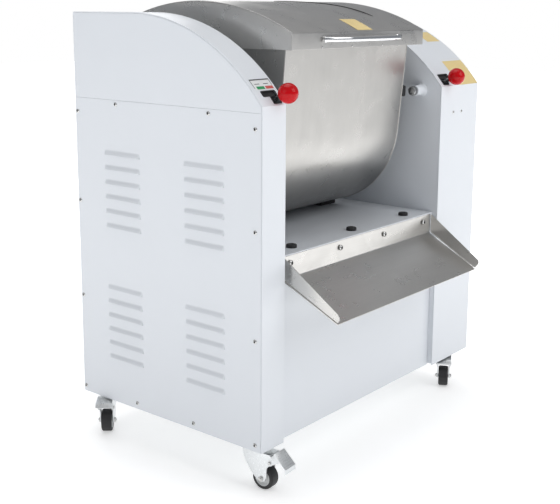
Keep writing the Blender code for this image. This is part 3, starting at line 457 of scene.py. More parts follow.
class Paintbox:
    """The mixer's finishes, each made once."""

    def __init__(self):
        self.grain = grain_group()
        self.smudge = smudge_group()
        self.skin = skin_group()
        self.made = {}

    def start(self, name):
        """A new material, its tree, its Principled shader and its Object coordinates."""
        made = bpy.data.materials.new(name)
        made.use_nodes = True
        tree = made.node_tree
        shader = tree.nodes["Principled BSDF"]
        where = tree.nodes.new("ShaderNodeTexCoord").outputs["Object"]
        return made, tree, shader, where

    def place(self, tree, group, **inputs):
        """One of the shared groups, with its own values."""
        made = tree.nodes.new("ShaderNodeGroup")
        made.node_tree = group
        for key, value in inputs.items():
            if isinstance(value, bpy.types.NodeSocket):
                tree.links.new(value, made.inputs[key])
            else:
                made.inputs[key].default_value = value
        return made.outputs

    def blend_colours(self, tree, mask, first, second):
        """A colour that goes from first to second with the mask."""
        mix = new_node(tree, "ShaderNodeMix", data_type="RGBA")
        tree.links.new(mask, mix.inputs["Factor"])
        for key, value in (("A", first), ("B", second)):
            for socket in mix.inputs:
                if socket.name == key and socket.type == "RGBA":
                    socket.default_value = (*value, 1.0)
        return next(s for s in mix.outputs if s.type == "RGBA")

    def metal(self, name, colour, rough, squeeze=(1.0, 1.0, 1.0), fineness=420.0, shade=0.86,
              bump=0.05, smudge=6.0, coat=0.0):
        """Bare metal: streaked colour and roughness, faint streak relief and smudges."""
        if name in self.made:
            return self.made[name]
        made, tree, shader, where = self.start(name)
        grain = self.place(tree, self.grain, Vector=where, Squeeze=squeeze, Fineness=fineness)
        mark = self.place(tree, self.smudge, Vector=where, Scale=smudge)["Mask"]
        both = math_node(tree, "MULTIPLY", grain["Streaks"], 0.6)
        both = math_node(tree, "ADD", both, math_node(tree, "MULTIPLY", grain["Bands"], 0.4))
        dark = tuple(c * shade for c in colour)
        tree.links.new(self.blend_colours(tree, both, dark, colour), shader.inputs["Base Color"])
        shader.inputs["Metallic"].default_value = 1.0
        gloss = math_node(tree, "ADD", math_node(tree, "MULTIPLY", both, -0.35), mark)
        tree.links.new(
            spread(tree, gloss, -0.35, 1.0, rough * 0.82, rough * 1.22), shader.inputs["Roughness"]
        )
        if bump:
            relief = new_node(
                tree,
                "ShaderNodeBump",
                {"Strength": bump, "Distance": 0.0002, "Height": grain["Streaks"]},
            )
            tree.links.new(relief.outputs["Normal"], shader.inputs["Normal"])
        shader.inputs["Coat Weight"].default_value = coat
        self.made[name] = made
        return made

    def coated(self, name, colour, rough, scale=700.0, bump=0.06, shade=0.94, speckle=0.0,
               gloss=0.0, smudge=3.0, specular=0.5, metallic=0.0):
        """Paint, rubber or plastic: pebbled skin, slow colour drift and uneven gloss."""
        if name in self.made:
            return self.made[name]
        made, tree, shader, where = self.start(name)
        skin = self.place(tree, self.skin, Vector=where, Scale=scale)
        mark = self.place(tree, self.smudge, Vector=where, Scale=smudge)["Mask"]
        mask = mark
        if speckle:
            mask = math_node(
                tree, "ADD", math_node(tree, "MULTIPLY", skin["Speckle"], speckle),
                math_node(tree, "MULTIPLY", mark, 1.0 - speckle),
            )
        dark = tuple(c * shade for c in colour)
        tree.links.new(self.blend_colours(tree, mask, dark, colour), shader.inputs["Base Color"])
        tree.links.new(
            spread(tree, mark, 0.0, 1.0, rough * 0.9, rough * 1.15), shader.inputs["Roughness"]
        )
        relief = new_node(
            tree, "ShaderNodeBump", {"Strength": bump, "Distance": 0.0003, "Height": skin["Height"]}
        )
        tree.links.new(relief.outputs["Normal"], shader.inputs["Normal"])
        shader.inputs["Coat Weight"].default_value = gloss
        shader.inputs["Coat Roughness"].default_value = 0.05
        shader.inputs["Specular IOR Level"].default_value = specular
        shader.inputs["Metallic"].default_value = metallic
        self.made[name] = made
        return made

    def paint(self):
        """White powder coat of the towers and panels."""
        colour = tuple(bpy.context.scene.mixer_finish.paint)
        return self.coated("powder_coat_white", colour, 0.34, 520.0, 0.035, 0.985, gloss=0.12)

    def steel(self, grain="across"):
        """Brushed stainless sheet, its grain along x or upright."""
        colour = tuple(bpy.context.scene.mixer_finish.steel)
        squeeze = {"across": (0.02, 1.0, 1.0), "upright": (1.0, 1.0, 0.02), "deep": (1.0, 0.02, 1.0)}
        return self.metal(f"stainless_{grain}", colour, 0.30, squeeze[grain], 520.0, 0.94, 0.03)

    def vessel_steel(self):
        """Brushed stainless with a tone set by height, which stands in for what the curve
        would reflect at rest: even on the wall, a bright belt at the bend, dark below it."""
        made = self.metal("stainless_vessel", (0.60, 0.59, 0.57), 0.30, (1.0, 1.0, 0.02), 520.0,
                          0.95, 0.03)
        tree = made.node_tree
        shader = tree.nodes["Principled BSDF"]
        streaks = shader.inputs["Base Color"].links[0].from_socket
        where = tree.nodes.new("ShaderNodeTexCoord").outputs["Object"]
        height = new_node(tree, "ShaderNodeSeparateXYZ", {0: where}).outputs["Z"]
        # The height ramp is painted reflection and shade: a bright belt at the bend, dark below it.
        ramp = new_node(tree, "ShaderNodeValToRGB", {0: spread(tree, height, 0.54, 1.00)})
        ramp.color_ramp.interpolation = "B_SPLINE"
        first, last = ramp.color_ramp.elements
        first.color, last.color = (0.40, 0.41, 0.43, 1), (0.74, 0.74, 0.74, 1)
        for place, tone in ((0.16, 0.42), (0.25, 0.58), (0.32, 1.0), (0.39, 0.86), (0.52, 0.70)):
            ramp.color_ramp.elements.new(place).color = (tone, tone, tone, 1)
        mix = new_node(tree, "ShaderNodeMix", data_type="RGBA", blend_type="MULTIPLY")
        mix.inputs["Factor"].default_value = 1.0
        colours = [s for s in mix.inputs if s.type == "RGBA"]
        tree.links.new(streaks, colours[0])
        tree.links.new(ramp.outputs["Color"], colours[1])
        painted_reflection_tone = next(s for s in mix.outputs if s.type == "RGBA")
        tree.links.new(painted_reflection_tone, shader.inputs["Base Color"])
        return made

    def chrome(self):
        return self.metal("polished_chrome", (0.82, 0.83, 0.84), 0.09, shade=0.96, bump=0.0)

    def turned_steel(self):
        return self.metal("turned_steel", (0.52, 0.53, 0.54), 0.27, (0.05, 1, 1), 700.0, 0.85, 0.05)

    def screw_steel(self):
        return self.metal("screw_steel", (0.66, 0.66, 0.65), 0.22, fineness=900.0, bump=0.02)

    def recess(self):
        # Near-black finish for the screws' cross recesses: painted shade in the recess.
        return self.metal("screw_recess_painted_shade", (0.05, 0.05, 0.05), 0.45, fineness=900.0, bump=0.0)

    def zinc(self):
        return self.metal("zinc_plate", (0.80, 0.82, 0.83), 0.30, fineness=160.0, shade=0.93,
                          bump=0.02, smudge=26.0)

    def rubber(self):
        return self.coated("black_rubber", (0.022, 0.022, 0.024), 0.62, 1400.0, 0.18, 0.6, 0.5)

    def tyre(self):
        return self.coated("tyre_black", (0.028, 0.028, 0.030), 0.55, 1100.0, 0.20, 0.65, 0.5)

    def nylon(self):
        return self.coated("hub_white", (0.74, 0.75, 0.75), 0.42, 900.0, 0.06, 0.93)

    def red(self):
        colour = tuple(bpy.context.scene.mixer_finish.knob)
        return self.coated("knob_red", colour, 0.13, 220.0, 0.01, 0.90, gloss=0.0, specular=0.22)

    def plastic(self):
        return self.coated("black_plastic", (0.020, 0.020, 0.022), 0.42, 1300.0, 0.15, 0.7, 0.4)

    def casting(self):
        return self.coated("casting_paint", (0.10, 0.14, 0.18), 0.46, 260.0, 0.30, 0.75, 0.3)

    def yellow(self):
        return self.coated("label_yellow", (0.84, 0.66, 0.30), 0.40, 800.0, 0.02, 0.90, gloss=0.1)

    def label_white(self):
        return self.coated("label_white", (0.78, 0.79, 0.79), 0.38, 800.0, 0.02, 0.96, gloss=0.1)

    def label_ink(self):
        return self.coated("label_ink", (0.030, 0.034, 0.036), 0.40, 800.0, 0.02, 0.8)

    def label_green(self):
        return self.coated("label_green", (0.02, 0.30, 0.10), 0.40, 800.0, 0.02, 0.85)

    def label_red(self):
        return self.coated("label_red", (0.62, 0.10, 0.08), 0.40, 800.0, 0.02, 0.85)


PAINTS = {}


def paints():
    """The shared paintbox, made on first use."""
    if "box" not in PAINTS:
        PAINTS["box"] = Paintbox()
    return PAINTS["box"]


# ---------------------------------------------------------------- towers


def arc_y(z):
    """The tower arc's y at height z: its centre's y less the root of radius squared less the
    height above the centre squared."""
    return ARC_Y - np.sqrt(ARC_R**2 - (np.asarray(z) - (TOP_Z - ARC_R)) ** 2)


def tower_path():
    """(y, z) points from the front foot up, round the arc with lines at the slot's edges,
    and down the rear."""
    start = math.acos(-ARC_Y / ARC_R)
    angles = np.linspace(start, math.pi / 2, 57)
    marks = np.arcsin((np.array((SLOT_LOW, SLOT_STEP, SLOT_HIGH)) - (TOP_Z - ARC_R)) / ARC_R)
    angles = np.unique(np.concatenate((angles, np.pi - marks)))[::-1]
    arc = np.stack((ARC_Y + ARC_R * np.cos(angles), TOP_Z - ARC_R + ARC_R * np.sin(angles)), -1)
    corner = rounded(((0.45, TOP_Z), (DEPTH, TOP_Z), (DEPTH, 0.9)), (0, 0.004, 0), 5)
    foot = ((0.0, FOOT_Z), (0.0, 0.5))
    return np.concatenate((foot, arc, corner, ((DEPTH, 0.5), (DEPTH, FOOT_Z))))


def tower_wrap(side, x0, x1):
    """The bent sheet of one tower: the path carried along x, less the cells in its slot."""
    notch, far, step_x = SLOTS[side]
    lines = np.unique(np.array((x0, x1, notch, far, step_x, (x0 + x1) / 2)))
    path = tower_path()
    points = np.empty((len(path), len(lines), 3))
    points[..., 0] = lines
    points[..., 1:] = path[:, None]
    mid_x = (lines[1:] + lines[:-1]) / 2
    mid_z = (path[1:, 1] + path[:-1, 1]) / 2
    front = ((path[1:, 0] + path[:-1, 0]) / 2 < 0.1)[:, None]
    upper = (mid_x > min(notch, far)) & (mid_x < max(notch, far))
    lower = (mid_x > min(notch, step_x)) & (mid_x < max(notch, step_x))
    tall = ((mid_z > SLOT_STEP) & (mid_z < SLOT_HIGH))[:, None]
    short = ((mid_z > SLOT_LOW) & (mid_z < SLOT_STEP))[:, None]
    hole = front & ((tall & upper) | (short & lower))
    shell = Shell().grid(points, keep=~hole)
    obj = piece(f"{side}_tower_sheet", shell, paints().paint(), "frame",
                f"{side}_tower_wrap", bevel=0.0)
    solid = obj.modifiers.new("sheet", "SOLIDIFY")
    solid.thickness = SHEET
    solid.offset = -1.0
    solid.use_even_offset = True
    edge = obj.modifiers.new("edge_radius", "BEVEL")
    edge.width = bpy.context.scene.mixer_sizes.sheet_edge
    edge.segments = 3
    edge.angle_limit = math.radians(40)
    edge.harden_normals = True
    return obj


def slot_trim(side):
    """The rubber bead round a lever slot and the two lips behind it."""
    notch, far, step_x = SLOTS[side]
    corners = (
        (notch, SLOT_LOW), (step_x, SLOT_LOW), (step_x, SLOT_STEP), (far, SLOT_STEP),
        (far, SLOT_HIGH), (notch, SLOT_HIGH),
    )
    loop = rounded(corners, (0.002, 0.002, 0.002, 0.002, 0.002, 0.002), 6)
    path = np.stack((loop[:, 0], arc_y(loop[:, 1]) - 0.0004, loop[:, 1]), -1)
    normal = np.stack((np.zeros(len(path)), path[:, 1] - ARC_Y, path[:, 2] - (TOP_Z - ARC_R)), -1)
    shell = Shell().grid(carried(ellipse(0.0013, 0.0011, 10), path, normal, True), (True, True))
    x0, x1 = min(notch, far) - 0.003, max(notch, far) + 0.003
    for z0, z1 in ((SLOT_LOW - 0.006, 0.8707), (0.8836, SLOT_HIGH + 0.005)):
        z = np.linspace(z0, z1, 5)
        outer = np.stack((arc_y(z) + 0.0040, z), -1)
        shell.prism(*along_x(offset_sheet(outer, 0.0014), x0, x1))
    piece(f"{side}_slot_rubber", shell, paints().rubber(), "frame")


def louvre_lines():
    """The y and z lines of the panel's grid, close together at the louvres."""
    z = [FOOT_Z, FOOT_Z + 0.0006, SEAM_Z - 0.0009, SEAM_Z - 0.0003]
    for top in LOUVRE_TOPS:
        for row in range(LOUVRE_ROWS):
            base = top - row * LOUVRE_PITCH
            z += [base - 0.0014, base - 0.0004, base, base + 0.0138]
            z += [base + s for s in (0.0012, 0.0028, 0.0048, 0.0070, 0.0092, 0.0112, 0.0128)]
    y = [EDGE, EDGE + 0.0006, DEPTH - EDGE - 0.0006, DEPTH - EDGE]
    for start in LOUVRE_STARTS:
        y += [start + s for s in (-0.001, 0, 0.0012, 0.003, 0.0052, 0.0078, 0.0105, 0.030, 0.060)]
        y += [start + LOUVRE_L - s for s in (-0.001, 0, 0.0012, 0.003, 0.0052, 0.0078, 0.0105, 0.030)]
    return np.sort(np.array(y)), np.sort(np.array(z))


def louvre_panel(side, face_x, outward):
    """A panel whose outward height is the sum over louvres of reach * end blend along y *
    S-curve from the top edge down to the lip; the cells under the lips are left open."""
    y, z = louvre_lines()
    reach = bpy.context.scene.mixer_sizes.louvre_reach
    height = np.zeros((len(z), len(y)))
    opening = np.zeros((len(z) - 1, len(y) - 1), bool)
    mid_y, mid_z = (y[1:] + y[:-1]) / 2, (z[1:] + z[:-1]) / 2
    for start in LOUVRE_STARTS:
        near = np.clip(np.minimum(y - start, start + LOUVRE_L - y) / 0.0105, 0, 1)
        ends = np.sqrt(np.clip(1 - (1 - near) ** 2, 0, 1))
        inside = (mid_y > start + 0.004) & (mid_y < start + LOUVRE_L - 0.004)
        for top in LOUVRE_TOPS:
            for row in range(LOUVRE_ROWS):
                base = top - row * LOUVRE_PITCH
                t = np.clip((base + 0.0128 - z) / 0.0128, 0, 1)
                rise = np.where(z >= base - 1e-7, np.sin(t * np.pi / 2) ** 1.6, 0.0)
                height += reach * rise[:, None] * ends
                opening |= (abs(mid_z - base + 0.0002) < 1.5e-4)[:, None] & inside
    points = np.empty((*height.shape, 3))
    points[..., 0] = face_x + outward * height
    points[..., 1] = y
    points[..., 2] = z[:, None]
    shell = Shell().grid(points, keep=~opening)
    obj = piece(f"{side}_louvre_panel", shell, paints().paint(), "frame",
                f"{side}_side_panel", angle=50.0)
    flip = bmesh.new()
    flip.from_mesh(obj.data)
    flip.faces.ensure_lookup_table()
    flip.normal_update()
    if sum(f.normal.x * f.calc_area() for f in flip.faces) * outward < 0:
        bmesh.ops.reverse_faces(flip, faces=flip.faces)
    flip.to_mesh(obj.data)
    flip.free()
    solid = obj.modifiers.new("sheet", "SOLIDIFY")
    solid.thickness = 0.0012
    solid.offset = -1.0
    return obj


def screw_head(shell, centre, normal, radius, height, turn=0.0):
    """A pan head: height * root of (1 - (r / radius) ^ 2.6), less a cross recess near its
    middle, on a polar grid closed by its seat."""
    rings = np.array((0.0, 0.18, 0.30, 0.42, 0.50, 0.62, 0.76, 0.88, 0.96, 1.0))
    angle = np.linspace(0, 2 * np.pi, 24, endpoint=False)[:, None]
    dome = height * np.sqrt(np.clip(1 - rings**2.6, 0, 1))
    arm = np.abs(np.cos(2 * angle)) ** 3
    deep = np.clip((0.52 * (0.45 + 0.55 * arm) - rings) / 0.10, 0, 1)
    level = dome - deep * height * 0.62
    axis, side, other = basis(normal)
    turned_angle = angle[..., None] + turn
    out = np.cos(turned_angle) * side + np.sin(turned_angle) * other
    points = np.asarray(centre) + axis * level[..., None] + out * (rings * radius)[None, :, None]
    # Faces of the cross recess take slot 1, the near-black finish: painted shade in the recess.
    cells = (rings[1:] < 0.51)[None, :] & np.ones((24, 1), bool)
    shell.grid(points, (True, False), keep=np.broadcast_to(cells, (24, 9)), slot=1)
    shell.grid(points, (True, False), keep=np.broadcast_to(~cells, (24, 9)))
    seat = points[:, -1]
    middle = np.broadcast_to(np.asarray(centre), seat.shape)
    shell.grid(np.stack((seat, middle), 1), (True, False))
    return shell


def screws(name, places, normal, body, radius=None, height=0.0026):
    """All the screw heads on one face."""
    radius = radius or bpy.context.scene.mixer_sizes.screw_head / 2
    shell = Shell()
    turns = np.random.default_rng(len(places) * 7 + 1).uniform(0, 1.5, len(places))
    for place, turn in zip(places, turns):
        screw_head(shell, place, normal, radius, height, turn)
    # Screw steel on the heads, painted shade in the recesses.
    head_and_recess_shade = [paints().screw_steel(), paints().recess()]
    return piece(name, shell, head_and_recess_shade, body, angle=40.0)


def panel_screw_places(x):
    """Where the side panels' and caps' screws sit."""
    spots = [(y, z) for z in (0.818, 0.599, 0.358, 0.119) for y in (0.019, DEPTH - 0.008)]
    spots += [(y, 0.842) for y in (0.152, 0.447)] + [(y, 0.119) for y in (0.206, 0.394)]
    return [(x, y, z) for y, z in spots]


# ---------------------------------------------------------------- cabinet and chute


def bumper(shell, x):
    """A rubber foot: a turned profile with a rounded shoulder and a dished top."""
    profile = ((0.0003, 0.0), (0.0003, 0.0125), (0.0055, 0.0125), (0.0072, 0.0118),
               (0.0080, 0.0100), (0.0080, 0.0052), (0.0066, 0.0042), (0.0066, 0.0))
    shell.grid(turned(profile, (x, 0.052, DECK_Z), (0, 0, 1), 40), (True, False))


def chute_sections():
    """The tray's (y, z) path from flange top to lip, and its wall's outline."""
    back, top = CHUTE_HIGH[1], CHUTE_HIGH[2]
    low = top - 0.052
    tip_z = CHUTE_LOW[2]
    run = 0.1445
    tip = (back - run, tip_z)
    lean = (-0.022 * math.sin(CHUTE_SLOPE), 0.022 * math.cos(CHUTE_SLOPE))
    wall_top = (tip[0] + lean[0], tip[1] + lean[1])
    return back, top, low, tip, wall_top


def chute_tray():
    """Flange and tray as one folded sheet, tapered along x, with two side walls whose free
    corners are rounded."""
    back, top, low, tip, wall_top = chute_sections()
    x0, x1 = CHUTE_LOW[0], CHUTE_HIGH[0]
    path = np.concatenate((
        ((back - 0.0001, top),),
        rounded(((back, top), (back, low), tip), (0, 0.005, 0), 6)[1:-1],
        ((tip[0] + 0.0001, tip[1] + 0.0001),),
    ))
    outline = offset_sheet(path, -SHEET)
    t = np.clip((back - outline[:, 0]) / (back - tip[0]), 0, 1)
    inset = 0.009 * t
    low_ring, high_ring = along_x(outline, x0, x1)
    low_ring[:, 0] += inset + 0.0004
    high_ring[:, 0] -= inset + 0.0004
    shell = Shell().prism(low_ring, high_ring)
    piece("chute_tray", shell, paints().steel("across"), "frame",
          "discharge_chute", bevel=0.0005)
    corners = ((back - 0.0024, top - 0.0006), (back - 0.0026, low + 0.003),
               (tip[0] + 0.0004, tip[1] + 0.0028), wall_top)
    plate = rounded(corners, (0.001, 0.001, 0.003, 0.012), 8)
    depth = np.clip((back - plate[:, 0]) / (back - tip[0]), 0, 1)
    shell = Shell()
    for start, way in ((x0, 1), (x1, -1)):
        ring = np.insert(plate, 0, 0.0, axis=1)
        lean = np.where(plate[:, 1] > tip[1] + 0.012, 0.004, 0.009)
        ring[:, 0] = start + way * (depth * lean)
        shell.prism(ring, ring + (way * 0.0022, 0, 0))
    piece("chute_walls", shell, paints().steel("deep"), "frame",
          bevel=0.0006)
    beads = Shell()
    for start, way in ((x0, 1), (x1, -1)):
        a = np.array((start + way * 0.0030, back - SHEET - 0.0012, low + 0.004))
        b = np.array((start + way * 0.0118, tip[0] + 0.006, tip[1] + 0.0045))
        t = np.linspace(0, 1, 60)[:, None]
        line = a * (1 - t) + b * t
        size = 0.0011 * (1 + 0.12 * np.sin(np.arange(60) * 2.1))
        section = ellipse(1.0, 1.0, 8)
        tube = carried(section, line, (0, 0, 1))
        tube = line[:, None] + (tube - line[:, None]) * size[:, None, None]
        beads.grid(tube, (False, True), True)
    piece("chute_welds", beads, paints().steel("across"), "frame")


# ---------------------------------------------------------------- trough and lid


def trough_path(inset, rim):
    """(y, z) points of the U: two walls that lean outwards by FLARE and an arc between."""
    arc = arc_points((AXIS[1], AXIS[2]), TROUGH_R - inset, math.pi + FLARE, 2 * math.pi - FLARE, 96)
    spread_out = (rim - arc[0][1]) * math.tan(FLARE)
    front = np.linspace((arc[0][0] - spread_out, rim), arc[0], 6)[:-1]
    rear = np.linspace(arc[-1], (arc[-1][0] + spread_out, rim), 6)[1:]
    return np.concatenate((front, arc, rear))


def trough_body():
    """An open U vessel: outer and inner skins carried along x, flat ends and a top rim."""
    x0, x1 = BAY_MID - TROUGH_HALF, BAY_MID + TROUGH_HALF
    outer, inner = trough_path(0.0, RIM_Z), trough_path(TROUGH_SHEET, RIM_Z)
    spans = np.array((0.0, 0.25, 0.5, 0.75, 1.0))
    shell = Shell()

    def skin(path, a, b):
        points = np.empty((len(path), len(spans), 3))
        points[..., 0] = a + (b - a) * spans
        points[..., 1:] = path[:, None]
        return points

    out = skin(outer, x0, x1)
    inn = skin(inner, x0 + TROUGH_SHEET, x1 - TROUGH_SHEET)
    shell.grid(out)
    shell.grid(inn[::-1])
    for grid, end in ((out, 0), (out, -1), (inn, 0), (inn, -1)):
        ring = grid[:, end]
        shell.points.append(ring)
        shell.faces.append((np.arange(len(ring)) + shell.count).tolist())
        shell.slots.append(0)
        shell.count += len(ring)
    for o_row, i_row in ((out[0], inn[0]), (out[-1], inn[-1])):
        shell.grid(np.stack((o_row, i_row)))
    for end in (0, -1):
        o = np.stack((out[0, end], out[-1, end]))
        i = np.stack((inn[0, end], inn[-1, end]))
        shell.grid(np.stack((o, i)))
    piece("trough_vessel", shell, paints().vessel_steel(), "trough",
          "trough", bevel=bpy.context.scene.mixer_sizes.trough_edge, angle=30)


def trough_fittings():
    """Trunnion tubes with bolted flanges, lid pivots and end-plate weld beads."""
    x0, x1 = BAY_MID - TROUGH_HALF, BAY_MID + TROUGH_HALF
    shell = Shell()
    bolts = Shell()
    for face, way, reach in ((x0, -1, x0 - BAY_LEFT - 0.006), (x1, 1, BAY_RIGHT - x1 - 0.006)):
        profile = ((0.0002, 0.0232), (0.0002, 0.052), (0.0045, 0.052), (0.0055, 0.051),
                   (0.0055, 0.040), (0.0075, 0.037), (reach - 0.001, 0.037), (reach, 0.036),
                   (reach, 0.0232))
        centre = (face, AXIS[1], AXIS[2])
        shell.grid(turned(profile, centre, (way, 0, 0), 64), (True, True))
        pin = ((0.0, 0.0), (0.0, 0.006), (0.0200, 0.006), (0.0212, 0.0050), (0.0212, 0.0))
        shell.grid(turned(pin, (face + way * 0.0002, 0.548, 0.992), (way, 0, 0), 32), (True, False))
        for k in range(6):
            turn = math.pi / 3 * k + 0.3
            spot = (face + way * 0.0055, AXIS[1] + 0.046 * math.cos(turn),
                    AXIS[2] + 0.046 * math.sin(turn))
            head = ((0.0, 0.0), (0.0, 0.0050), (0.0030, 0.0050), (0.0036, 0.0042), (0.0036, 0.0))
            bolts.grid(turned(head, spot, (way, 0, 0), 6), (True, False))
    piece("trough_trunnions", shell, paints().turned_steel(), "trough")
    piece("trough_flange_bolts", bolts, paints().screw_steel(), "trough")
    beads = Shell()
    for face, way in ((x0, 1), (x1, -1)):
        line = trough_path(-0.0002, RIM_Z - 0.002)
        path = np.insert(line, 0, face + way * 0.0012, axis=1)
        beads.grid(carried(ellipse(0.0012, 0.0008, 8), path, (1, 0, 0)), (False, True), True)
    piece("trough_end_welds", beads, paints().steel("upright"), "trough")


def lid_arch(y, drop=0.0):
    """The lid's height at y: its crest less the radius plus the root of radius squared less
    the distance from the crest squared."""
    radius = LID_R - drop
    return LID_HIGH[2] - LID_R + np.sqrt(radius**2 - (np.asarray(y) - LID_CREST_Y) ** 2)


def lid_body():
    """The arched sheet with its rolled front edge and lip, and two end plates under it."""
    front, rear, low = LID_LOW[1], LID_HIGH[1], LID_LOW[2]
    y = np.linspace(front, rear, 73)
    ridge = np.stack((y, lid_arch(y)), -1)
    bend = rounded(((front, low), ridge[0], ridge[5]), (0, 0.0045, 0), 7)
    path = np.concatenate((bend[:-1], ridge[5:]))
    shell = Shell()
    x0, x1 = LID_LOW[0], LID_HIGH[0]
    sheet = offset_sheet(path, SHEET)
    shell.prism(*along_x(sheet, x0, x1))
    y = np.linspace(front + SHEET + 0.0002, rear, 60)
    arch = np.stack((y, lid_arch(y, SHEET + 0.0002)), -1)
    plate = np.concatenate((((y[0], low),), arch, ((rear, low),)))
    shell.prism(*along_x(plate, x0, x0 + SHEET))
    shell.prism(*along_x(plate, x1 - SHEET, x1))
    piece("lid_sheet", shell, paints().steel("across"), "lid", "lid",
          bevel=0.0005)
    # Black rubber strips under the lid's edges: painted shadow, a dark sheet put where the gap under the lid shows
    # shade.
    seal_and_shadow_strip = Shell()
    for a, b in ((x0 + SHEET + 0.0004, 0.0035), (x1 - SHEET - 0.0004, -0.0035)):
        seal_and_shadow_strip.box((min(a, a + b), front + 0.006, low + 0.001), (max(a, a + b), 0.500, low + 0.009))
    seal_and_shadow_strip.box((x0 + 0.008, front + SHEET + 0.0003, low + 0.0008),
             (x1 - 0.008, front + SHEET + 0.0036, low + 0.010))
    piece("lid_edge_shadow_strip", seal_and_shadow_strip, paints().rubber(), "lid", bevel=0.0006)


def lid_trim():
    """The curved rubber bead on the lid's top, a path on the arch, and three rivets on the lip."""
    flat = np.array(((0.400, 0.300), (0.452, 0.282), (0.500, 0.246), (0.530, 0.205),
                     (0.546, 0.160), (0.553, 0.104)))
    t = np.linspace(0, 1, len(flat))
    fine = np.linspace(0, 1, 60)
    fit_x, fit_y = np.polyfit(t, flat[:, 0], 4), np.polyfit(t, flat[:, 1], 4)
    x, y = np.polyval(fit_x, fine), np.polyval(fit_y, fine)
    path = np.stack((x, y, lid_arch(y) + 0.0004), -1)
    normal = np.stack((np.zeros(60), y - LID_CREST_Y, lid_arch(y) - (LID_HIGH[2] - LID_R)), -1)
    swell = np.sqrt(np.clip(1 - (2 * fine - 1) ** 8, 0.04, 1))
    tube = carried(ellipse(0.0034, 0.0013, 14, 2.6), path, normal)
    tube = path[:, None] + (tube - path[:, None]) * swell[:, None, None]
    piece("lid_curved_bead", Shell().grid(tube, (False, True), True), paints().rubber(), "lid")
    studs = Shell()
    for px in (0.241, 0.356, 0.483):
        profile = ((0.0, 0.0), (0.0, 0.0024), (0.0010, 0.0022), (0.0014, 0.0))
        studs.grid(turned(profile, (px, LID_LOW[1], LID_LOW[2] + 0.004), (0, -1, 0), 20),
                   (True, False))
    piece("lid_lip_rivets", studs, paints().screw_steel(), "lid")


def lid_handle():
    """A chrome bow: a rounded bar whose reach from the lip is 32 mm * (1 - |t| ^ 3.5), on two
    round feet."""
    low, high = low_of("lid_handle"), high_of("lid_handle")
    mid_z = (low[2] + high[2]) / 2
    t = np.linspace(-1, 1, 81)
    reach = 0.032 * (1 - np.abs(t) ** 3.5)
    path = np.stack((BAY_MID + t * 0.158, LID_LOW[1] - 0.0038 - reach, np.full(81, mid_z)), -1)
    path[0, 1] = path[-1, 1] = LID_LOW[1] - 0.0040
    shell = Shell().grid(carried(ellipse(0.0035, 0.0058, 24, 2.8), path, (0, 0, 1)),
                         (False, True), True)
    foot = ((0.0, 0.0), (0.0, 0.0068), (0.0012, 0.0074), (0.0026, 0.0070), (0.0034, 0.0052),
            (0.0036, 0.0))
    for x in (BAY_MID - 0.150, BAY_MID + 0.150):
        shell.grid(turned(foot, (x, LID_LOW[1], mid_z), (0, -1, 0), 32), (True, False))
    piece("lid_bow_handle", shell, paints().chrome(), "lid", "lid_handle")


# ---------------------------------------------------------------- agitator and drive


def agitator_bars():
    """Two round bars: each point stands 192 mm from the axis, its turn growing by 90 degrees
    from the left arm to the right one."""
    for name in ("a", "b"):
        low, high = low_of(f"agitator_bar_{name}"), high_of(f"agitator_bar_{name}")
        start = math.radians(65.0) + (math.pi if name == "b" else 0.0)
        t = np.linspace(0, 1, 73)
        turn = start + math.pi / 2 * t
        out = np.stack((np.zeros(73), np.cos(turn), np.sin(turn)), -1)
        path = np.stack((low[0] + (high[0] - low[0]) * t, AXIS[1] + 0.192 * out[:, 1],
                         AXIS[2] + 0.192 * out[:, 2]), -1)
        tube = carried(ellipse(0.013, 0.013, 28), path, out)
        tube[0, :, 0], tube[-1, :, 0] = low[0], high[0]
        piece(f"agitator_round_bar_{name}", Shell().grid(tube, (False, True), True),
              paints().steel("deep"), "agitator", f"agitator_bar_{name}")
    low, high = low_of("agitator_shaft"), high_of("agitator_shaft")
    length = high[0] - low[0]
    profile = ((0.0, 0.0), (0.0, 0.0184), (0.0016, 0.02), (length - 0.0016, 0.02),
               (length, 0.0184), (length, 0.0))
    piece("agitator_main_shaft",
          Shell().grid(turned(profile, (low[0], AXIS[1], AXIS[2]), (1, 0, 0), 64), (True, False)),
          paints().turned_steel(), "agitator", "agitator_shaft")
    for side in ("left", "right"):
        finished_copy(f"agitator_arm_{side}", f"agitator_blade_{side}", paints().steel("upright"),
                      0.0015, 3)


def toothed(shell, x0, x1, centre, radius, bore, pitch=0.0127):
    """A chain wheel: its rim radius falls by a rounded cosine between the teeth."""
    teeth = int(2 * math.pi * radius / pitch)
    turn = np.linspace(0, 2 * np.pi, teeth * 8, endpoint=False)
    wave = (0.5 + 0.5 * np.cos(turn * teeth)) ** 0.7
    rim = radius - 0.0042 * (1 - wave)
    rows = []
    for x, share in ((x0, 0.0), (x0, 0.97), (x0 + 0.0016, 1.0), (x1 - 0.0016, 1.0), (x1, 0.97),
                     (x1, 0.0)):
        r = bore if share == 0.0 else rim - (1 - share) * 0.08
        rows.append(np.stack((np.full_like(turn, x), centre[1] + r * np.cos(turn),
                              centre[2] + r * np.sin(turn)), -1))
    shell.grid(np.array(rows), (True, True))
    return shell


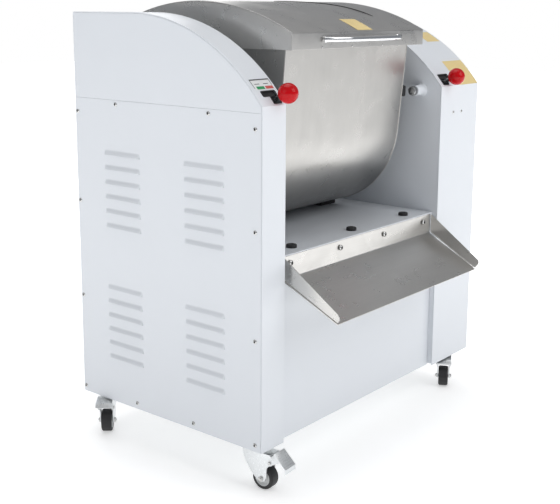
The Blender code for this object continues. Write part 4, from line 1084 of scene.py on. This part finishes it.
def chain_links():
    """Side plates and rollers at even steps along the line round both wheels, which is the
    middle of the frame's chain band."""
    a, ra = np.array((AXIS[1], AXIS[2])), 0.0902
    low = joint_point("layshaft_spin")
    b, rb = np.array((low[1], low[2])), 0.0302
    apart = b - a
    heading, length = math.atan2(apart[1], apart[0]), np.hypot(*apart)
    lean = math.acos((ra - rb) / length)
    ring_b = arc_points(b, rb + 0.0048, heading - lean, heading + lean, 40)
    ring_a = arc_points(a, ra + 0.0048, heading + lean, heading - lean + 2 * math.pi, 80)
    loop = np.concatenate((ring_b, ring_a, ring_b[:1]))
    run = np.concatenate(((0,), np.cumsum(np.linalg.norm(np.diff(loop, axis=0), axis=1))))
    count = int(run[-1] / 0.0127) // 2 * 2
    at = np.linspace(0, run[-1], count, endpoint=False)
    pins = np.stack((np.interp(at, run, loop[:, 0]), np.interp(at, run, loop[:, 1])), -1)
    shell = Shell()
    middle = (low_of("drive_chain")[0] + high_of("drive_chain")[0]) / 2
    for k in range(count):
        p, q = pins[k], pins[(k + 1) % count]
        along = (q - p) / np.linalg.norm(q - p)
        across = np.array((-along[1], along[0]))
        ends = np.concatenate((
            [p + along * c + across * s for c, s in ((0.0, 0.0034), (-0.0034, 0.0), (0.0, -0.0034))],
            [q + along * c + across * s for c, s in ((0.0, -0.0034), (0.0034, 0.0), (0.0, 0.0034))],
        ))
        reach = 0.0036 if k % 2 else 0.0024
        for way in (-1, 1):
            x = middle + way * reach
            shell.prism(*along_x(ends, x - 0.0005, x + 0.0005))
        spot = (middle - 0.0018, p[0], p[1])
        profile = ((0.0, 0.0), (0.0, 0.0030), (0.0036, 0.0030), (0.0036, 0.0))
        shell.grid(turned(profile, spot, (1, 0, 0), 8), (True, False))
    piece("roller_chain", shell, paints().turned_steel(), "frame", "drive_chain")


def drive_pieces():
    """Motor with cooling ribs, grooved pulleys, chain wheels, belt and bearings."""
    lay, motor = joint_point("layshaft_spin"), joint_point("motor_spin")
    shell = Shell()
    toothed(shell, 0.0441, 0.0519, AXIS, 0.0895, 0.0203)
    hub = ((0.0, 0.0203), (0.0, 0.034), (0.007, 0.034), (0.0078, 0.033), (0.0078, 0.0203))
    shell.grid(turned(hub, (0.0521, AXIS[1], AXIS[2]), (1, 0, 0), 48), (True, True))
    piece("agitator_chain_wheel", shell, paints().turned_steel(), "agitator",
          "agitator_sprocket")
    shell = Shell()
    groove = ((0.018, 0.0), (0.018, 0.098), (0.019, 0.0995), (0.0215, 0.0995), (0.0245, 0.092),
              (0.0295, 0.092), (0.0325, 0.0995), (0.035, 0.0995), (0.036, 0.098), (0.036, 0.045),
              (0.034, 0.040), (0.036, 0.026), (0.036, 0.015), (0.150, 0.015), (0.150, 0.0))
    shell.grid(turned(groove, (0, lay[1], lay[2]), (1, 0, 0), 64), (True, False))
    toothed(shell, 0.0441, 0.0519, lay, 0.0297, 0.0148)
    end = ((0.010, 0.0), (0.010, 0.014), (0.011, 0.015), (0.0182, 0.015), (0.0182, 0.0))
    shell.grid(turned(end, (0, lay[1], lay[2]), (1, 0, 0), 40), (True, False))
    piece("layshaft_wheels", shell, paints().turned_steel(), "layshaft", "layshaft")
    groove = ((0.018, 0.0), (0.018, 0.038), (0.019, 0.0397), (0.0215, 0.0397), (0.0245, 0.032),
              (0.0295, 0.032), (0.0325, 0.0397), (0.035, 0.0397), (0.036, 0.038), (0.036, 0.012),
              (0.109, 0.012), (0.109, 0.0))
    piece("motor_groove_pulley",
          Shell().grid(turned(groove, (0, motor[1], motor[2]), (1, 0, 0), 48), (True, False)),
          paints().turned_steel(), "motor_rotor", "motor_pulley")
    finished_copy("motor", "motor_housing", paints().casting(), 0.0015, 3)
    ribs = Shell()
    for k in range(24):
        turn = 2 * math.pi * k / 24 + 0.13
        out = np.array((0.0, math.cos(turn), math.sin(turn)))
        across = np.array((0.0, -math.sin(turn), math.cos(turn)))
        foot = np.array((0.145, motor[1], motor[2])) + out * 0.0798
        if out[2] > 0.80 or out[2] < -0.62:
            continue
        ring = np.array([foot - across * 0.0011, foot + across * 0.0011,
                         foot + across * 0.0007 + out * 0.0075, foot - across * 0.0007 + out * 0.0075])
        ribs.prism(ring, ring + (0.150, 0, 0))
    piece("motor_cooling_ribs", ribs, paints().casting(), "frame", bevel=0.0003)
    for side in ("left", "right"):
        finished_copy(f"trunnion_bearing_{side}", f"bearing_ring_{side}", paints().casting(), 0.002, 3)
    finished_copy("layshaft_bearing", "layshaft_block", paints().casting(), 0.002, 3)
    finished_copy("drive_belt", "wedge_belt", paints().rubber(), 0.0012, 2)
    chain_links()


# ---------------------------------------------------------------- levers


def stem_spot(x, reach):
    """A point this far out along a lever's stem."""
    return np.array((x, ROD_Y - reach * math.cos(STEM_ANGLE), ROD_Z + reach * math.sin(STEM_ANGLE)))


def lever(name, x, collar_profile, body, node):
    """A turned stem with a neck and a ferrule, standing on its collar or pin."""
    axis = stem_spot(x, 1.0) - stem_spot(x, 0.0)
    top = KNOB_REACH - 0.0215
    stem = ((0.006, 0.0), (0.006, 0.0044), (0.052, 0.0044), (0.054, 0.0036), (0.060, 0.0036),
            (0.062, 0.0044), (top - 0.006, 0.0044), (top - 0.0050, 0.0060), (top - 0.0006, 0.0064),
            (top, 0.0058), (top, 0.0))
    shell = Shell().grid(turned(stem, stem_spot(x, 0.0), axis, 40), (True, False))
    shell.grid(turned(collar_profile, (0, ROD_Y, ROD_Z), (1, 0, 0), 48),
               (True, collar_profile[0][1] > 0))
    piece(name, shell, paints().turned_steel(), body, node)


def knob(name, x, body, node):
    """A ball: radius 22 mm on latitude and longitude, cut flat where the stem enters."""
    axis = stem_spot(x, 1.0) - stem_spot(x, 0.0)
    lat = np.linspace(-math.radians(74), math.pi / 2, 41)
    profile = np.stack((0.0219 * np.sin(lat), 0.0219 * np.cos(lat)), -1)
    profile = np.concatenate((((profile[0, 0], 0.0),), profile))
    profile[-1, 1] = 0.0
    shell = Shell().grid(turned(profile, stem_spot(x, KNOB_REACH), axis, 72), (True, False))
    piece(name, shell, paints().red(), body, node)


def lever_pieces():
    """Both levers with their knobs, the fixed rod and the lock's boss."""
    half = 0.008
    collar = ((CLUTCH_X - half, 0.0084), (CLUTCH_X - half, 0.0128), (CLUTCH_X - half + 0.0012, 0.014),
              (CLUTCH_X + half - 0.0012, 0.014), (CLUTCH_X + half, 0.0128), (CLUTCH_X + half, 0.0084))
    lever("clutch_stem", CLUTCH_X, collar, "clutch", "clutch_lever")
    tip = low_of("lock_pin")[0]
    end = high_of("lock_pin")[0]
    pin = ((tip, 0.0), (tip, 0.0062), (tip + 0.0018, 0.0079), (end - 0.001, 0.0079),
           (end, 0.0070), (end, 0.0))
    lever("lock_stem_and_pin", LOCK_X, pin, "lock", "lock_pin")
    knob("clutch_ball", CLUTCH_X, "clutch", "clutch_knob")
    knob("lock_ball", LOCK_X, "lock", "lock_knob")
    low, high = low_of("clutch_rod"), high_of("clutch_rod")
    rod = ((low[0], 0.0), (low[0], 0.0072), (low[0] + 0.0008, 0.0079), (high[0] - 0.0008, 0.0079),
           (high[0], 0.0072), (high[0], 0.0))
    piece("clutch_guide_rod", Shell().grid(turned(rod, (0, ROD_Y, ROD_Z), (1, 0, 0), 40),
                                           (True, False)),
          paints().turned_steel(), "frame", "clutch_rod")
    start, stop = low_of("lock_boss")[0], high_of("lock_boss")[0]
    tube = ((start + 0.014, 0.0090), (start + 0.014, 0.0122), (start + 0.0152, 0.0133),
            (stop - 0.006, 0.0135), (stop - 0.003, 0.0150), (stop, 0.0172), (stop, 0.0090))
    piece("lock_boss_tube", Shell().grid(turned(tube, (0, ROD_Y, ROD_Z), (1, 0, 0), 56), (True, True)),
          paints().paint(), "frame", "lock_boss")
    ring = ((start, 0.0084), (start, 0.0104), (start + 0.0012, 0.0116), (start + 0.0052, 0.0116),
            (start + 0.0060, 0.0100), (start + 0.0078, 0.0100), (start + 0.0084, 0.0124),
            (start + 0.0128, 0.0124), (start + 0.0138, 0.0116), (start + 0.0138, 0.0084))
    piece("lock_boss_bush", Shell().grid(turned(ring, (0, ROD_Y, ROD_Z), (1, 0, 0), 48), (True, True)),
          paints().turned_steel(), "frame")
    seal_and_shadow_strip = ((start + 0.0062, 0.0101), (start + 0.0062, 0.0112), (start + 0.0076, 0.0112),
            (start + 0.0076, 0.0101))
    piece("lock_boss_seal", Shell().grid(turned(seal_and_shadow_strip, (0, ROD_Y, ROD_Z), (1, 0, 0), 40), (True, True)),
          paints().rubber(), "frame")


# ---------------------------------------------------------------- labels


def tower_patch(shell, x0, x1, z0, z1, lift, slot=0, steps=8):
    """A thin patch on the tower's arc: a grid in x and z with y from the arc, and its copy
    lifted outwards."""
    z = np.linspace(z0, z1, steps)
    path = np.stack((arc_y(z), z), -1)
    normal = path - (ARC_Y, TOP_Z - ARC_R)
    normal /= np.linalg.norm(normal, axis=1)[:, None]
    outline = np.concatenate((path + normal * (lift - 0.0001), (path + normal * lift)[::-1]))
    shell.prism(*along_x(outline, x0, x1), slot)


def lid_patch(shell, x0, x1, y0, y1, lift, slot=0):
    """A thin patch on the lid's arch, made in the same way."""
    y = np.linspace(y0, y1, 10)
    path = np.stack((y, lid_arch(y)), -1)
    normal = path - (LID_CREST_Y, LID_HIGH[2] - LID_R)
    normal /= np.linalg.norm(normal, axis=1)[:, None]
    outline = np.concatenate((path + normal * (lift - 0.0001), (path + normal * lift)[::-1]))
    shell.prism(*along_x(outline, x0, x1), slot)


def labels():
    """Blank stickers: a switch label with two coloured fields, and plain yellow patches."""
    inks = [paints().label_white(), paints().label_ink(), paints().label_green(),
            paints().label_red()]
    shell = Shell()
    tower_patch(shell, 0.0105, 0.0725, 0.8975, 0.9185, 0.00025)
    for box in ((0.0105, 0.0725, 0.9165, 0.9185), (0.0105, 0.0119, 0.9010, 0.9165),
                (0.0711, 0.0725, 0.9060, 0.9165)):
        tower_patch(shell, *box, 0.0004, 1)
    tower_patch(shell, 0.0184, 0.0429, 0.8990, 0.9045, 0.0004, 2, 4)
    tower_patch(shell, 0.0465, 0.0709, 0.8990, 0.9045, 0.0004, 3, 4)
    for x0, x1 in ((0.0184, 0.0340), (0.0465, 0.0620)):
        tower_patch(shell, x0, x1, 0.9085, 0.9096, 0.0004, 1, 4)
    piece("switch_label", shell, inks, "frame")
    shell = Shell()
    tower_patch(shell, 0.815, 0.917, 0.866, 0.926, 0.00025, 0, 14)
    tower_patch(shell, 0.846, 0.912, 0.976, 1.000, 0.00025, 0, 10)
    piece("tower_blank_labels", shell, paints().yellow(), "frame")
    shell = Shell()
    lid_patch(shell, 0.384, 0.447, 0.033, 0.088, 0.00025)
    piece("lid_blank_label", shell, paints().yellow(), "lid")


# ---------------------------------------------------------------- casters


def caster_axes(name):
    """A caster's swivel point and its trail and side directions, from its joints."""
    swivel, wheel = joint_point(f"{name}_swivel"), joint_point(f"{name}_roll")
    trail = (wheel - swivel) * (1, 1, 0)
    trail /= np.linalg.norm(trail)
    return swivel, trail, np.array((-trail[1], trail[0], 0.0))


def caster(name):
    """Wheel, hub, fork, race, axle nuts, pedal with ribs and bolted plate."""
    swivel, trail, side = caster_axes(name)
    centre = joint_point(f"{name}_roll")
    half = WHEEL_W / 2
    crown = [(-(half - 0.0045) - 0.0045 * math.cos(a), WHEEL_R - 0.0045 + 0.0045 * math.sin(a))
             for a in np.linspace(0, math.pi / 2, 6)]
    tyre = [(-half + 0.0006, 0.0195)] + crown
    tyre += [(-a, r) for a, r in tyre[::-1]]
    piece(f"{name}_tyre", Shell().grid(turned(tyre, centre, side, 64), (True, True)),
          paints().tyre(), f"{name}_wheel", f"caster_wheel_{name}")
    face = [(0.0, 0.0046), (half, 0.0046), (half, 0.0076), (half - 0.0012, 0.0084),
            (half - 0.0044, 0.0088), (half - 0.0056, 0.0104), (half - 0.0056, 0.0160),
            (half - 0.0040, 0.0178), (half - 0.0006, 0.0184), (half - 0.0006, 0.0194)]
    hub = [(-a, r) for a, r in face[:0:-1]] + face[1:]
    piece(f"{name}_hub", Shell().grid(turned(hub, centre, side, 56), (True, True)),
          paints().nylon(), f"{name}_wheel")
    finished_copy(f"caster_fork_{name}", f"{name}_fork_sheet", paints().zinc(), 0.0007, 2)
    shell = Shell()
    race = ((0.0, 0.0), (0.0, 0.0225), (0.0008, 0.0232), (0.0030, 0.0235), (0.0052, 0.0222),
            (0.0060, 0.0205), (0.0062, 0.0))
    shell.grid(turned(race, (swivel[0], swivel[1], 0.0902), (0, 0, 1), 56), (True, False))
    nut = ((0.0, 0.0), (0.0, 0.0066), (0.0034, 0.0066), (0.0042, 0.0056), (0.0042, 0.0))
    reach = 0.0175
    for way in (-1, 1):
        spot = centre + side * way * reach
        shell.grid(turned(nut, spot, side * way, 6), (True, False))
        dome = ((0.0038, 0.0), (0.0038, 0.0036), (0.0056, 0.0032), (0.0062, 0.0))
        shell.grid(turned(dome, spot, side * way, 24), (True, False))
    pin = ((0.0, 0.0), (0.0, 0.0040), (0.0012, 0.0040), (0.0018, 0.0030), (0.0018, 0.0))
    pedal_at = joint_point(f"{name}_brake")
    for way in (-1, 1):
        spot = pedal_at + side * way * (reach + 0.0026)
        shell.grid(turned(pin, spot, side * way, 24), (True, False))
    piece(f"{name}_race_and_nuts", shell, paints().screw_steel(), f"{name}_fork",
          bevel=0.0003)
    finished_copy(f"caster_pedal_{name}", f"{name}_pedal_plate", paints().zinc(), 0.0008, 3)
    ribs = Shell()
    turn = PEDAL_PRESSED.get(name, 0.0)
    hinge = np.array((0.0465, 0.072))
    spin = np.array(((math.cos(turn), math.sin(turn)), (-math.sin(turn), math.cos(turn))))
    a, b = np.array((0.0395, 0.0992)), np.array((0.0825, 0.0965))
    along = (b - a) / np.linalg.norm(b - a)
    out = np.array((-along[1], along[0]))
    base = np.array((swivel[0], swivel[1], 0.0))
    for share in (0.36, 0.50, 0.64, 0.78, 0.92):
        spot = a + (b - a) * share + out * 0.0001
        ring = [spot - along * 0.0011, spot + along * 0.0011, spot + along * 0.0006 + out * 0.0009,
                spot - along * 0.0006 + out * 0.0009]
        ring = [hinge + spin @ (p - hinge) for p in ring]
        ring = np.array([base + trail * t + np.array((0, 0, z)) for t, z in ring])
        ribs.prism(ring - side * 0.0165, ring + side * 0.0165)
    piece(f"{name}_pedal_ribs", ribs, paints().zinc(), f"{name}_pedal", bevel=0.0003)
    plate = f"caster_plate_{name}"
    finished_copy(plate, f"{name}_top_plate", paints().zinc(), 0.0006, 2)
    low, high = low_of(plate), high_of(plate)
    bolts = Shell()
    head = ((0.0, 0.0), (0.0, 0.0048), (0.0032, 0.0048), (0.0040, 0.0040), (0.0040, 0.0))
    for x in (low[0] + 0.008, high[0] - 0.008):
        for y in (low[1] + 0.008, high[1] - 0.008):
            bolts.grid(turned(head, (x, y, low[2]), (0, 0, -1), 6), (True, False))
    piece(f"{name}_plate_bolts", bolts, paints().screw_steel(), "frame")


# ---------------------------------------------------------------- stage


def stage():
    """Floor, lights and camera."""
    finish = bpy.context.scene.mixer_finish
    half = 14.0
    t = np.linspace(-half, half, 29)
    grid = np.zeros((29, 29, 3))
    grid[..., 0], grid[..., 1] = t[:, None], t[None, :]
    mesh = bpy.data.meshes.new("studio_floor")
    shell = Shell().grid(grid)
    mesh.from_pydata(np.concatenate(shell.points), [], shell.faces)
    made = bpy.data.materials.new("studio_floor")
    made.use_nodes = True
    tree = made.node_tree
    shader = tree.nodes["Principled BSDF"]
    where = tree.nodes.new("ShaderNodeTexCoord").outputs["Object"]
    slow = new_node(tree, "ShaderNodeTexNoise", {"Vector": where, "Scale": 0.8})
    colour = tuple(finish.floor)
    mask = spread(tree, slow.outputs["Fac"], 0.3, 0.7)
    soft = tuple(c * 0.985 for c in colour)
    tree.links.new(paints().blend_colours(tree, mask, soft, colour), shader.inputs["Base Color"])
    shader.inputs["Roughness"].default_value = 0.6
    shader.inputs["Specular IOR Level"].default_value = 0.2
    parts = new_node(tree, "ShaderNodeSeparateXYZ", {0: where}).outputs
    square = math_node(tree, "MULTIPLY", parts["X"], parts["X"])
    square = math_node(tree, "ADD", square, math_node(tree, "MULTIPLY", parts["Y"], parts["Y"]))
    far = spread(tree, math_node(tree, "POWER", square, 0.5), 0.5, 1.9)
    near_glow, far_glow = (0.42, 0.42, 0.42), (1.0, 1.0, 1.0)
    tree.links.new(
        paints().blend_colours(tree, far, near_glow, far_glow), shader.inputs["Emission Color"]
    )
    shader.inputs["Emission Strength"].default_value = 1.0
    mesh.materials.append(made)
    floor = bpy.data.objects.new("studio_floor", mesh)
    bpy.context.scene.collection.objects.link(floor)
    world = bpy.data.worlds.new("studio")
    bpy.context.scene.world = world
    world.use_nodes = True
    tree = world.node_tree
    tree.nodes.clear()
    ray = tree.nodes.new("ShaderNodeLightPath").outputs["Is Camera Ray"]
    seen = new_node(tree, "ShaderNodeBackground", {"Color": (1, 1, 1, 1), "Strength": 1.0})
    where = tree.nodes.new("ShaderNodeTexCoord").outputs["Generated"]
    height = new_node(tree, "ShaderNodeSeparateXYZ", {0: where}).outputs["Z"]
    ramp = new_node(tree, "ShaderNodeValToRGB", {0: spread(tree, height, -0.2, 1.0)})
    ramp.color_ramp.elements[0].color = (0.62, 0.65, 0.70, 1)
    ramp.color_ramp.elements[1].color = (1.0, 1.0, 1.0, 1)
    dark = ramp.color_ramp.elements.new(0.30)
    dark.color = (0.42, 0.44, 0.48, 1)
    light = new_node(
        tree, "ShaderNodeBackground",
        {"Color": ramp.outputs["Color"], "Strength": finish.world_strength},
    )
    mix = tree.nodes.new("ShaderNodeMixShader")
    tree.links.new(ray, mix.inputs[0])
    tree.links.new(light.outputs[0], mix.inputs[1])
    tree.links.new(seen.outputs[0], mix.inputs[2])
    tree.links.new(mix.outputs[0], tree.nodes.new("ShaderNodeOutputWorld").inputs[0])
    softbox("key_softbox", (0.9, -3.4, 2.9), (0.0, 0.0, 0.55), 2.6, finish.key_power)
    softbox("side_softbox", (-3.6, 0.4, 2.0), (0.0, 0.0, 0.55), 2.2, finish.side_power)
    softbox("top_softbox", (0.0, 0.3, 4.0), (0.0, 0.0, 0.5), 2.6, finish.top_power)
    softbox("rear_softbox", (1.8, 3.2, 2.6), (0.0, 0.0, 0.55), 2.4, finish.rear_power)
    camera()
    bpy.context.scene.view_settings.view_transform = "Standard"


def softbox(name, place, target, size, power):
    """A square area light that looks at a target."""
    data = bpy.data.lights.new(name, "AREA")
    data.shape = "SQUARE"
    data.size = size
    data.energy = power
    lamp = bpy.data.objects.new(name, data)
    lamp.location = place
    way = Vector(target) - Vector(place)
    lamp.rotation_euler = way.to_track_quat("-Z", "Y").to_euler()
    bpy.context.scene.collection.objects.link(lamp)


def camera():
    """A long lens from the left front, level with the tower tops."""
    data = bpy.data.cameras.new("camera")
    data.sensor_width = 36.0
    data.lens = bpy.context.scene.mixer_finish.lens
    data.shift_y = -0.09
    lens = bpy.data.objects.new("camera", data)
    yaw, pitch, roll = (math.radians(a) for a in (51.0216, -10.9975, -0.3509))
    turn = Euler((math.pi / 2 + pitch, 0.0, -yaw), "XYZ").to_matrix()
    lens.matrix_world = Matrix.Translation((-2.03443, -1.5468, 1.0684)) @ (
        turn @ Matrix.Rotation(-roll, 3, "Z")
    ).to_4x4()
    bpy.context.scene.collection.objects.link(lens)
    bpy.context.scene.camera = lens


# ---------------------------------------------------------------- add-on parts


class MixerSizes(bpy.types.PropertyGroup):
    """Sizes that shape the looks."""

    sheet_edge: FloatProperty(
        name="Sheet edge radius", description="Rounding of the towers' bent sheet",
        default=0.0011, min=0.0002, unit="LENGTH")
    trough_edge: FloatProperty(
        name="Trough edge radius", description="Rounding where the trough's plates meet",
        default=0.0013, min=0.0002, unit="LENGTH")
    screw_head: FloatProperty(
        name="Screw head", description="Diameter of the panel screws' heads",
        default=0.0105, min=0.004, unit="LENGTH")
    louvre_reach: FloatProperty(
        name="Louvre reach", description="How far a louvre's lip stands out",
        default=0.0048, min=0.001, max=0.005, unit="LENGTH")


class MixerFinish(bpy.types.PropertyGroup):
    """Colours and light."""

    paint: FloatVectorProperty(
        name="Paint", description="Powder coat of the body", subtype="COLOR",
        default=(0.745, 0.775, 0.815), min=0, max=1)
    steel: FloatVectorProperty(
        name="Steel", description="Brushed stainless sheet", subtype="COLOR",
        default=(0.62, 0.61, 0.59), min=0, max=1)
    knob: FloatVectorProperty(
        name="Knobs", description="Ball knobs", subtype="COLOR",
        default=(0.52, 0.002, 0.006), min=0, max=1)
    floor: FloatVectorProperty(
        name="Floor", description="Studio floor", subtype="COLOR",
        default=(0.90, 0.90, 0.90), min=0, max=1)
    world_strength: FloatProperty(
        name="Room light", description="Strength of the light from all round", default=0.50, min=0)
    key_power: FloatProperty(
        name="Front light", description="Power of the front softbox", default=46, unit="POWER")
    side_power: FloatProperty(
        name="Side light", description="Power of the left softbox", default=13, unit="POWER")
    top_power: FloatProperty(
        name="Top light", description="Power of the overhead softbox", default=40, unit="POWER")
    rear_power: FloatProperty(
        name="Rear light", description="Power of the rear softbox", default=26, unit="POWER")
    lens: FloatProperty(name="Lens", description="Focal length in millimetres", default=64.518)


class MixerOperator:
    """What every build step shares."""

    bl_options = {"REGISTER", "UNDO"}

    def execute(self, context):
        self.build()
        return {"FINISHED"}


class MIXER_OT_towers(MixerOperator, bpy.types.Operator):
    """Tower sheets, louvred panels, slot rubbers and their screws"""

    bl_idname = "mixer.towers"
    bl_label = "Towers"

    def build(self):
        tower_wrap("left", 0.0, BAY_LEFT)
        tower_wrap("right", BAY_RIGHT, WIDTH)
        louvre_panel("left", 0.0, -1)
        louvre_panel("right", WIDTH, 1)
        for side in SLOTS:
            slot_trim(side)
            repaint(paints().paint(), f"{side}_tower_cap", f"{side}_tower_inner_wall")
        screws("left_panel_screws", panel_screw_places(0.0), (-1, 0, 0), "frame")
        screws("right_panel_screws", panel_screw_places(WIDTH), (1, 0, 0), "frame")
        spots = [(x, 0.0, 0.795) for x in (0.790, 0.833)]
        screws("right_front_screws", spots, (0, -1, 0), "frame", 0.0042, 0.0020)


class MIXER_OT_cabinet(MixerOperator, bpy.types.Operator):
    """Deck, panels, bumpers, rest pad and gland between the towers"""

    bl_idname = "mixer.cabinet"
    bl_label = "Cabinet"

    def build(self):
        repaint(paints().paint(), "front_panel", "deck_plate", "rear_panel")
        repaint(paints().zinc(), "floor_pan", "motor_seat")
        for name in ("left", "middle", "right"):
            node = f"deck_bumper_{name}"
            shell = Shell()
            bumper(shell, (low_of(node)[0] + high_of(node)[0]) / 2)
            piece(f"bumper_{name}", shell, paints().rubber(), "frame", node)
        finished_copy("trough_rest_pad", "rest_pad_block", paints().rubber(), 0.002, 3)
        finished_copy("cable_gland", "cable_entry_gland", paints().plastic(), 0.0006, 2)
        rear = [(x, DEPTH, z) for z in (0.130, 0.380, 0.630, 0.885) for x in (0.092, 0.711)]
        rear += [(x, DEPTH, z) for z in (0.130, 0.885) for x in (0.300, 0.503)]
        screws("rear_panel_screws", rear, (0, 1, 0), "frame")


class MIXER_OT_chute(MixerOperator, bpy.types.Operator):
    """Discharge chute with its walls, welds and screws"""

    bl_idname = "mixer.chute"
    bl_label = "Chute"

    def build(self):
        chute_tray()
        face = CHUTE_HIGH[1] - SHEET
        spots = [(x, face, 0.512) for x in (0.114, 0.303, 0.490, 0.676)]
        screws("chute_screws", spots, (0, -1, 0), "frame", 0.0068, 0.0036)


class MIXER_OT_trough(MixerOperator, bpy.types.Operator):
    """Trough vessel, trunnions and lock lug"""

    bl_idname = "mixer.trough"
    bl_label = "Trough"

    def build(self):
        trough_body()
        trough_fittings()
        finished_copy("trough_lock_lug", "lock_lug_block", paints().rubber(), 0.0025, 3)


class MIXER_OT_lid(MixerOperator, bpy.types.Operator):
    """Lid sheet, black strip as painted shadow under its edges, bead, rivets and bow handle"""

    bl_idname = "mixer.lid"
    bl_label = "Lid"

    def build(self):
        lid_body()
        lid_trim()
        lid_handle()


class MIXER_OT_agitator(MixerOperator, bpy.types.Operator):
    """Agitator shaft, arms and bars"""

    bl_idname = "mixer.agitator"
    bl_label = "Agitator"

    def build(self):
        agitator_bars()


class MIXER_OT_drive(MixerOperator, bpy.types.Operator):
    """Motor, pulleys, belt, chain and bearings"""

    bl_idname = "mixer.drive"
    bl_label = "Drive"

    def build(self):
        drive_pieces()


class MIXER_OT_levers(MixerOperator, bpy.types.Operator):
    """Clutch and lock levers with ball knobs"""

    bl_idname = "mixer.levers"
    bl_label = "Levers"

    def build(self):
        lever_pieces()


class MIXER_OT_labels(MixerOperator, bpy.types.Operator):
    """Blank labels"""

    bl_idname = "mixer.labels"
    bl_label = "Labels"

    def build(self):
        labels()


class MIXER_OT_casters(MixerOperator, bpy.types.Operator):
    """Four braked swivel casters"""

    bl_idname = "mixer.casters"
    bl_label = "Casters"

    def build(self):
        for name in CASTERS:
            caster(name)


class MIXER_OT_stage(MixerOperator, bpy.types.Operator):
    """Floor, lights and camera"""

    bl_idname = "mixer.stage"
    bl_label = "Stage"

    def build(self):
        stage()


STEPS = ("towers", "cabinet", "chute", "trough", "lid", "agitator", "drive", "levers", "labels",
         "casters", "stage")


class MIXER_PT_panel(bpy.types.Panel):
    """Lists the build steps and their values"""

    bl_idname = "MIXER_PT_panel"
    bl_label = "Trough Mixer"
    bl_space_type = "VIEW_3D"
    bl_region_type = "UI"
    bl_category = "Mixer"

    def draw(self, context):
        for group in (context.scene.mixer_sizes, context.scene.mixer_finish):
            box = self.layout.box()
            for key in group.__annotations__:
                box.prop(group, key)
        for step in STEPS:
            self.layout.operator(f"mixer.{step}")


CLASSES = (
    MixerSizes, MixerFinish, MIXER_OT_towers, MIXER_OT_cabinet, MIXER_OT_chute, MIXER_OT_trough,
    MIXER_OT_lid, MIXER_OT_agitator, MIXER_OT_drive, MIXER_OT_levers, MIXER_OT_labels,
    MIXER_OT_casters, MIXER_OT_stage, MIXER_PT_panel,
)


def register():
    """Registers the classes and puts the value groups on the scene."""
    for cls in CLASSES:
        bpy.utils.register_class(cls)
    bpy.types.Scene.mixer_sizes = PointerProperty(type=MixerSizes)
    bpy.types.Scene.mixer_finish = PointerProperty(type=MixerFinish)


def unregister():
    """Takes both off again."""
    del bpy.types.Scene.mixer_finish
    del bpy.types.Scene.mixer_sizes
    for cls in reversed(CLASSES):
        bpy.utils.unregister_class(cls)


def main():
    """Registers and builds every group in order."""
    register()
    for step in STEPS:
        getattr(bpy.ops.mixer, step)()
    bpy.context.view_layer.update()


if __name__ == "__main__":
    main()
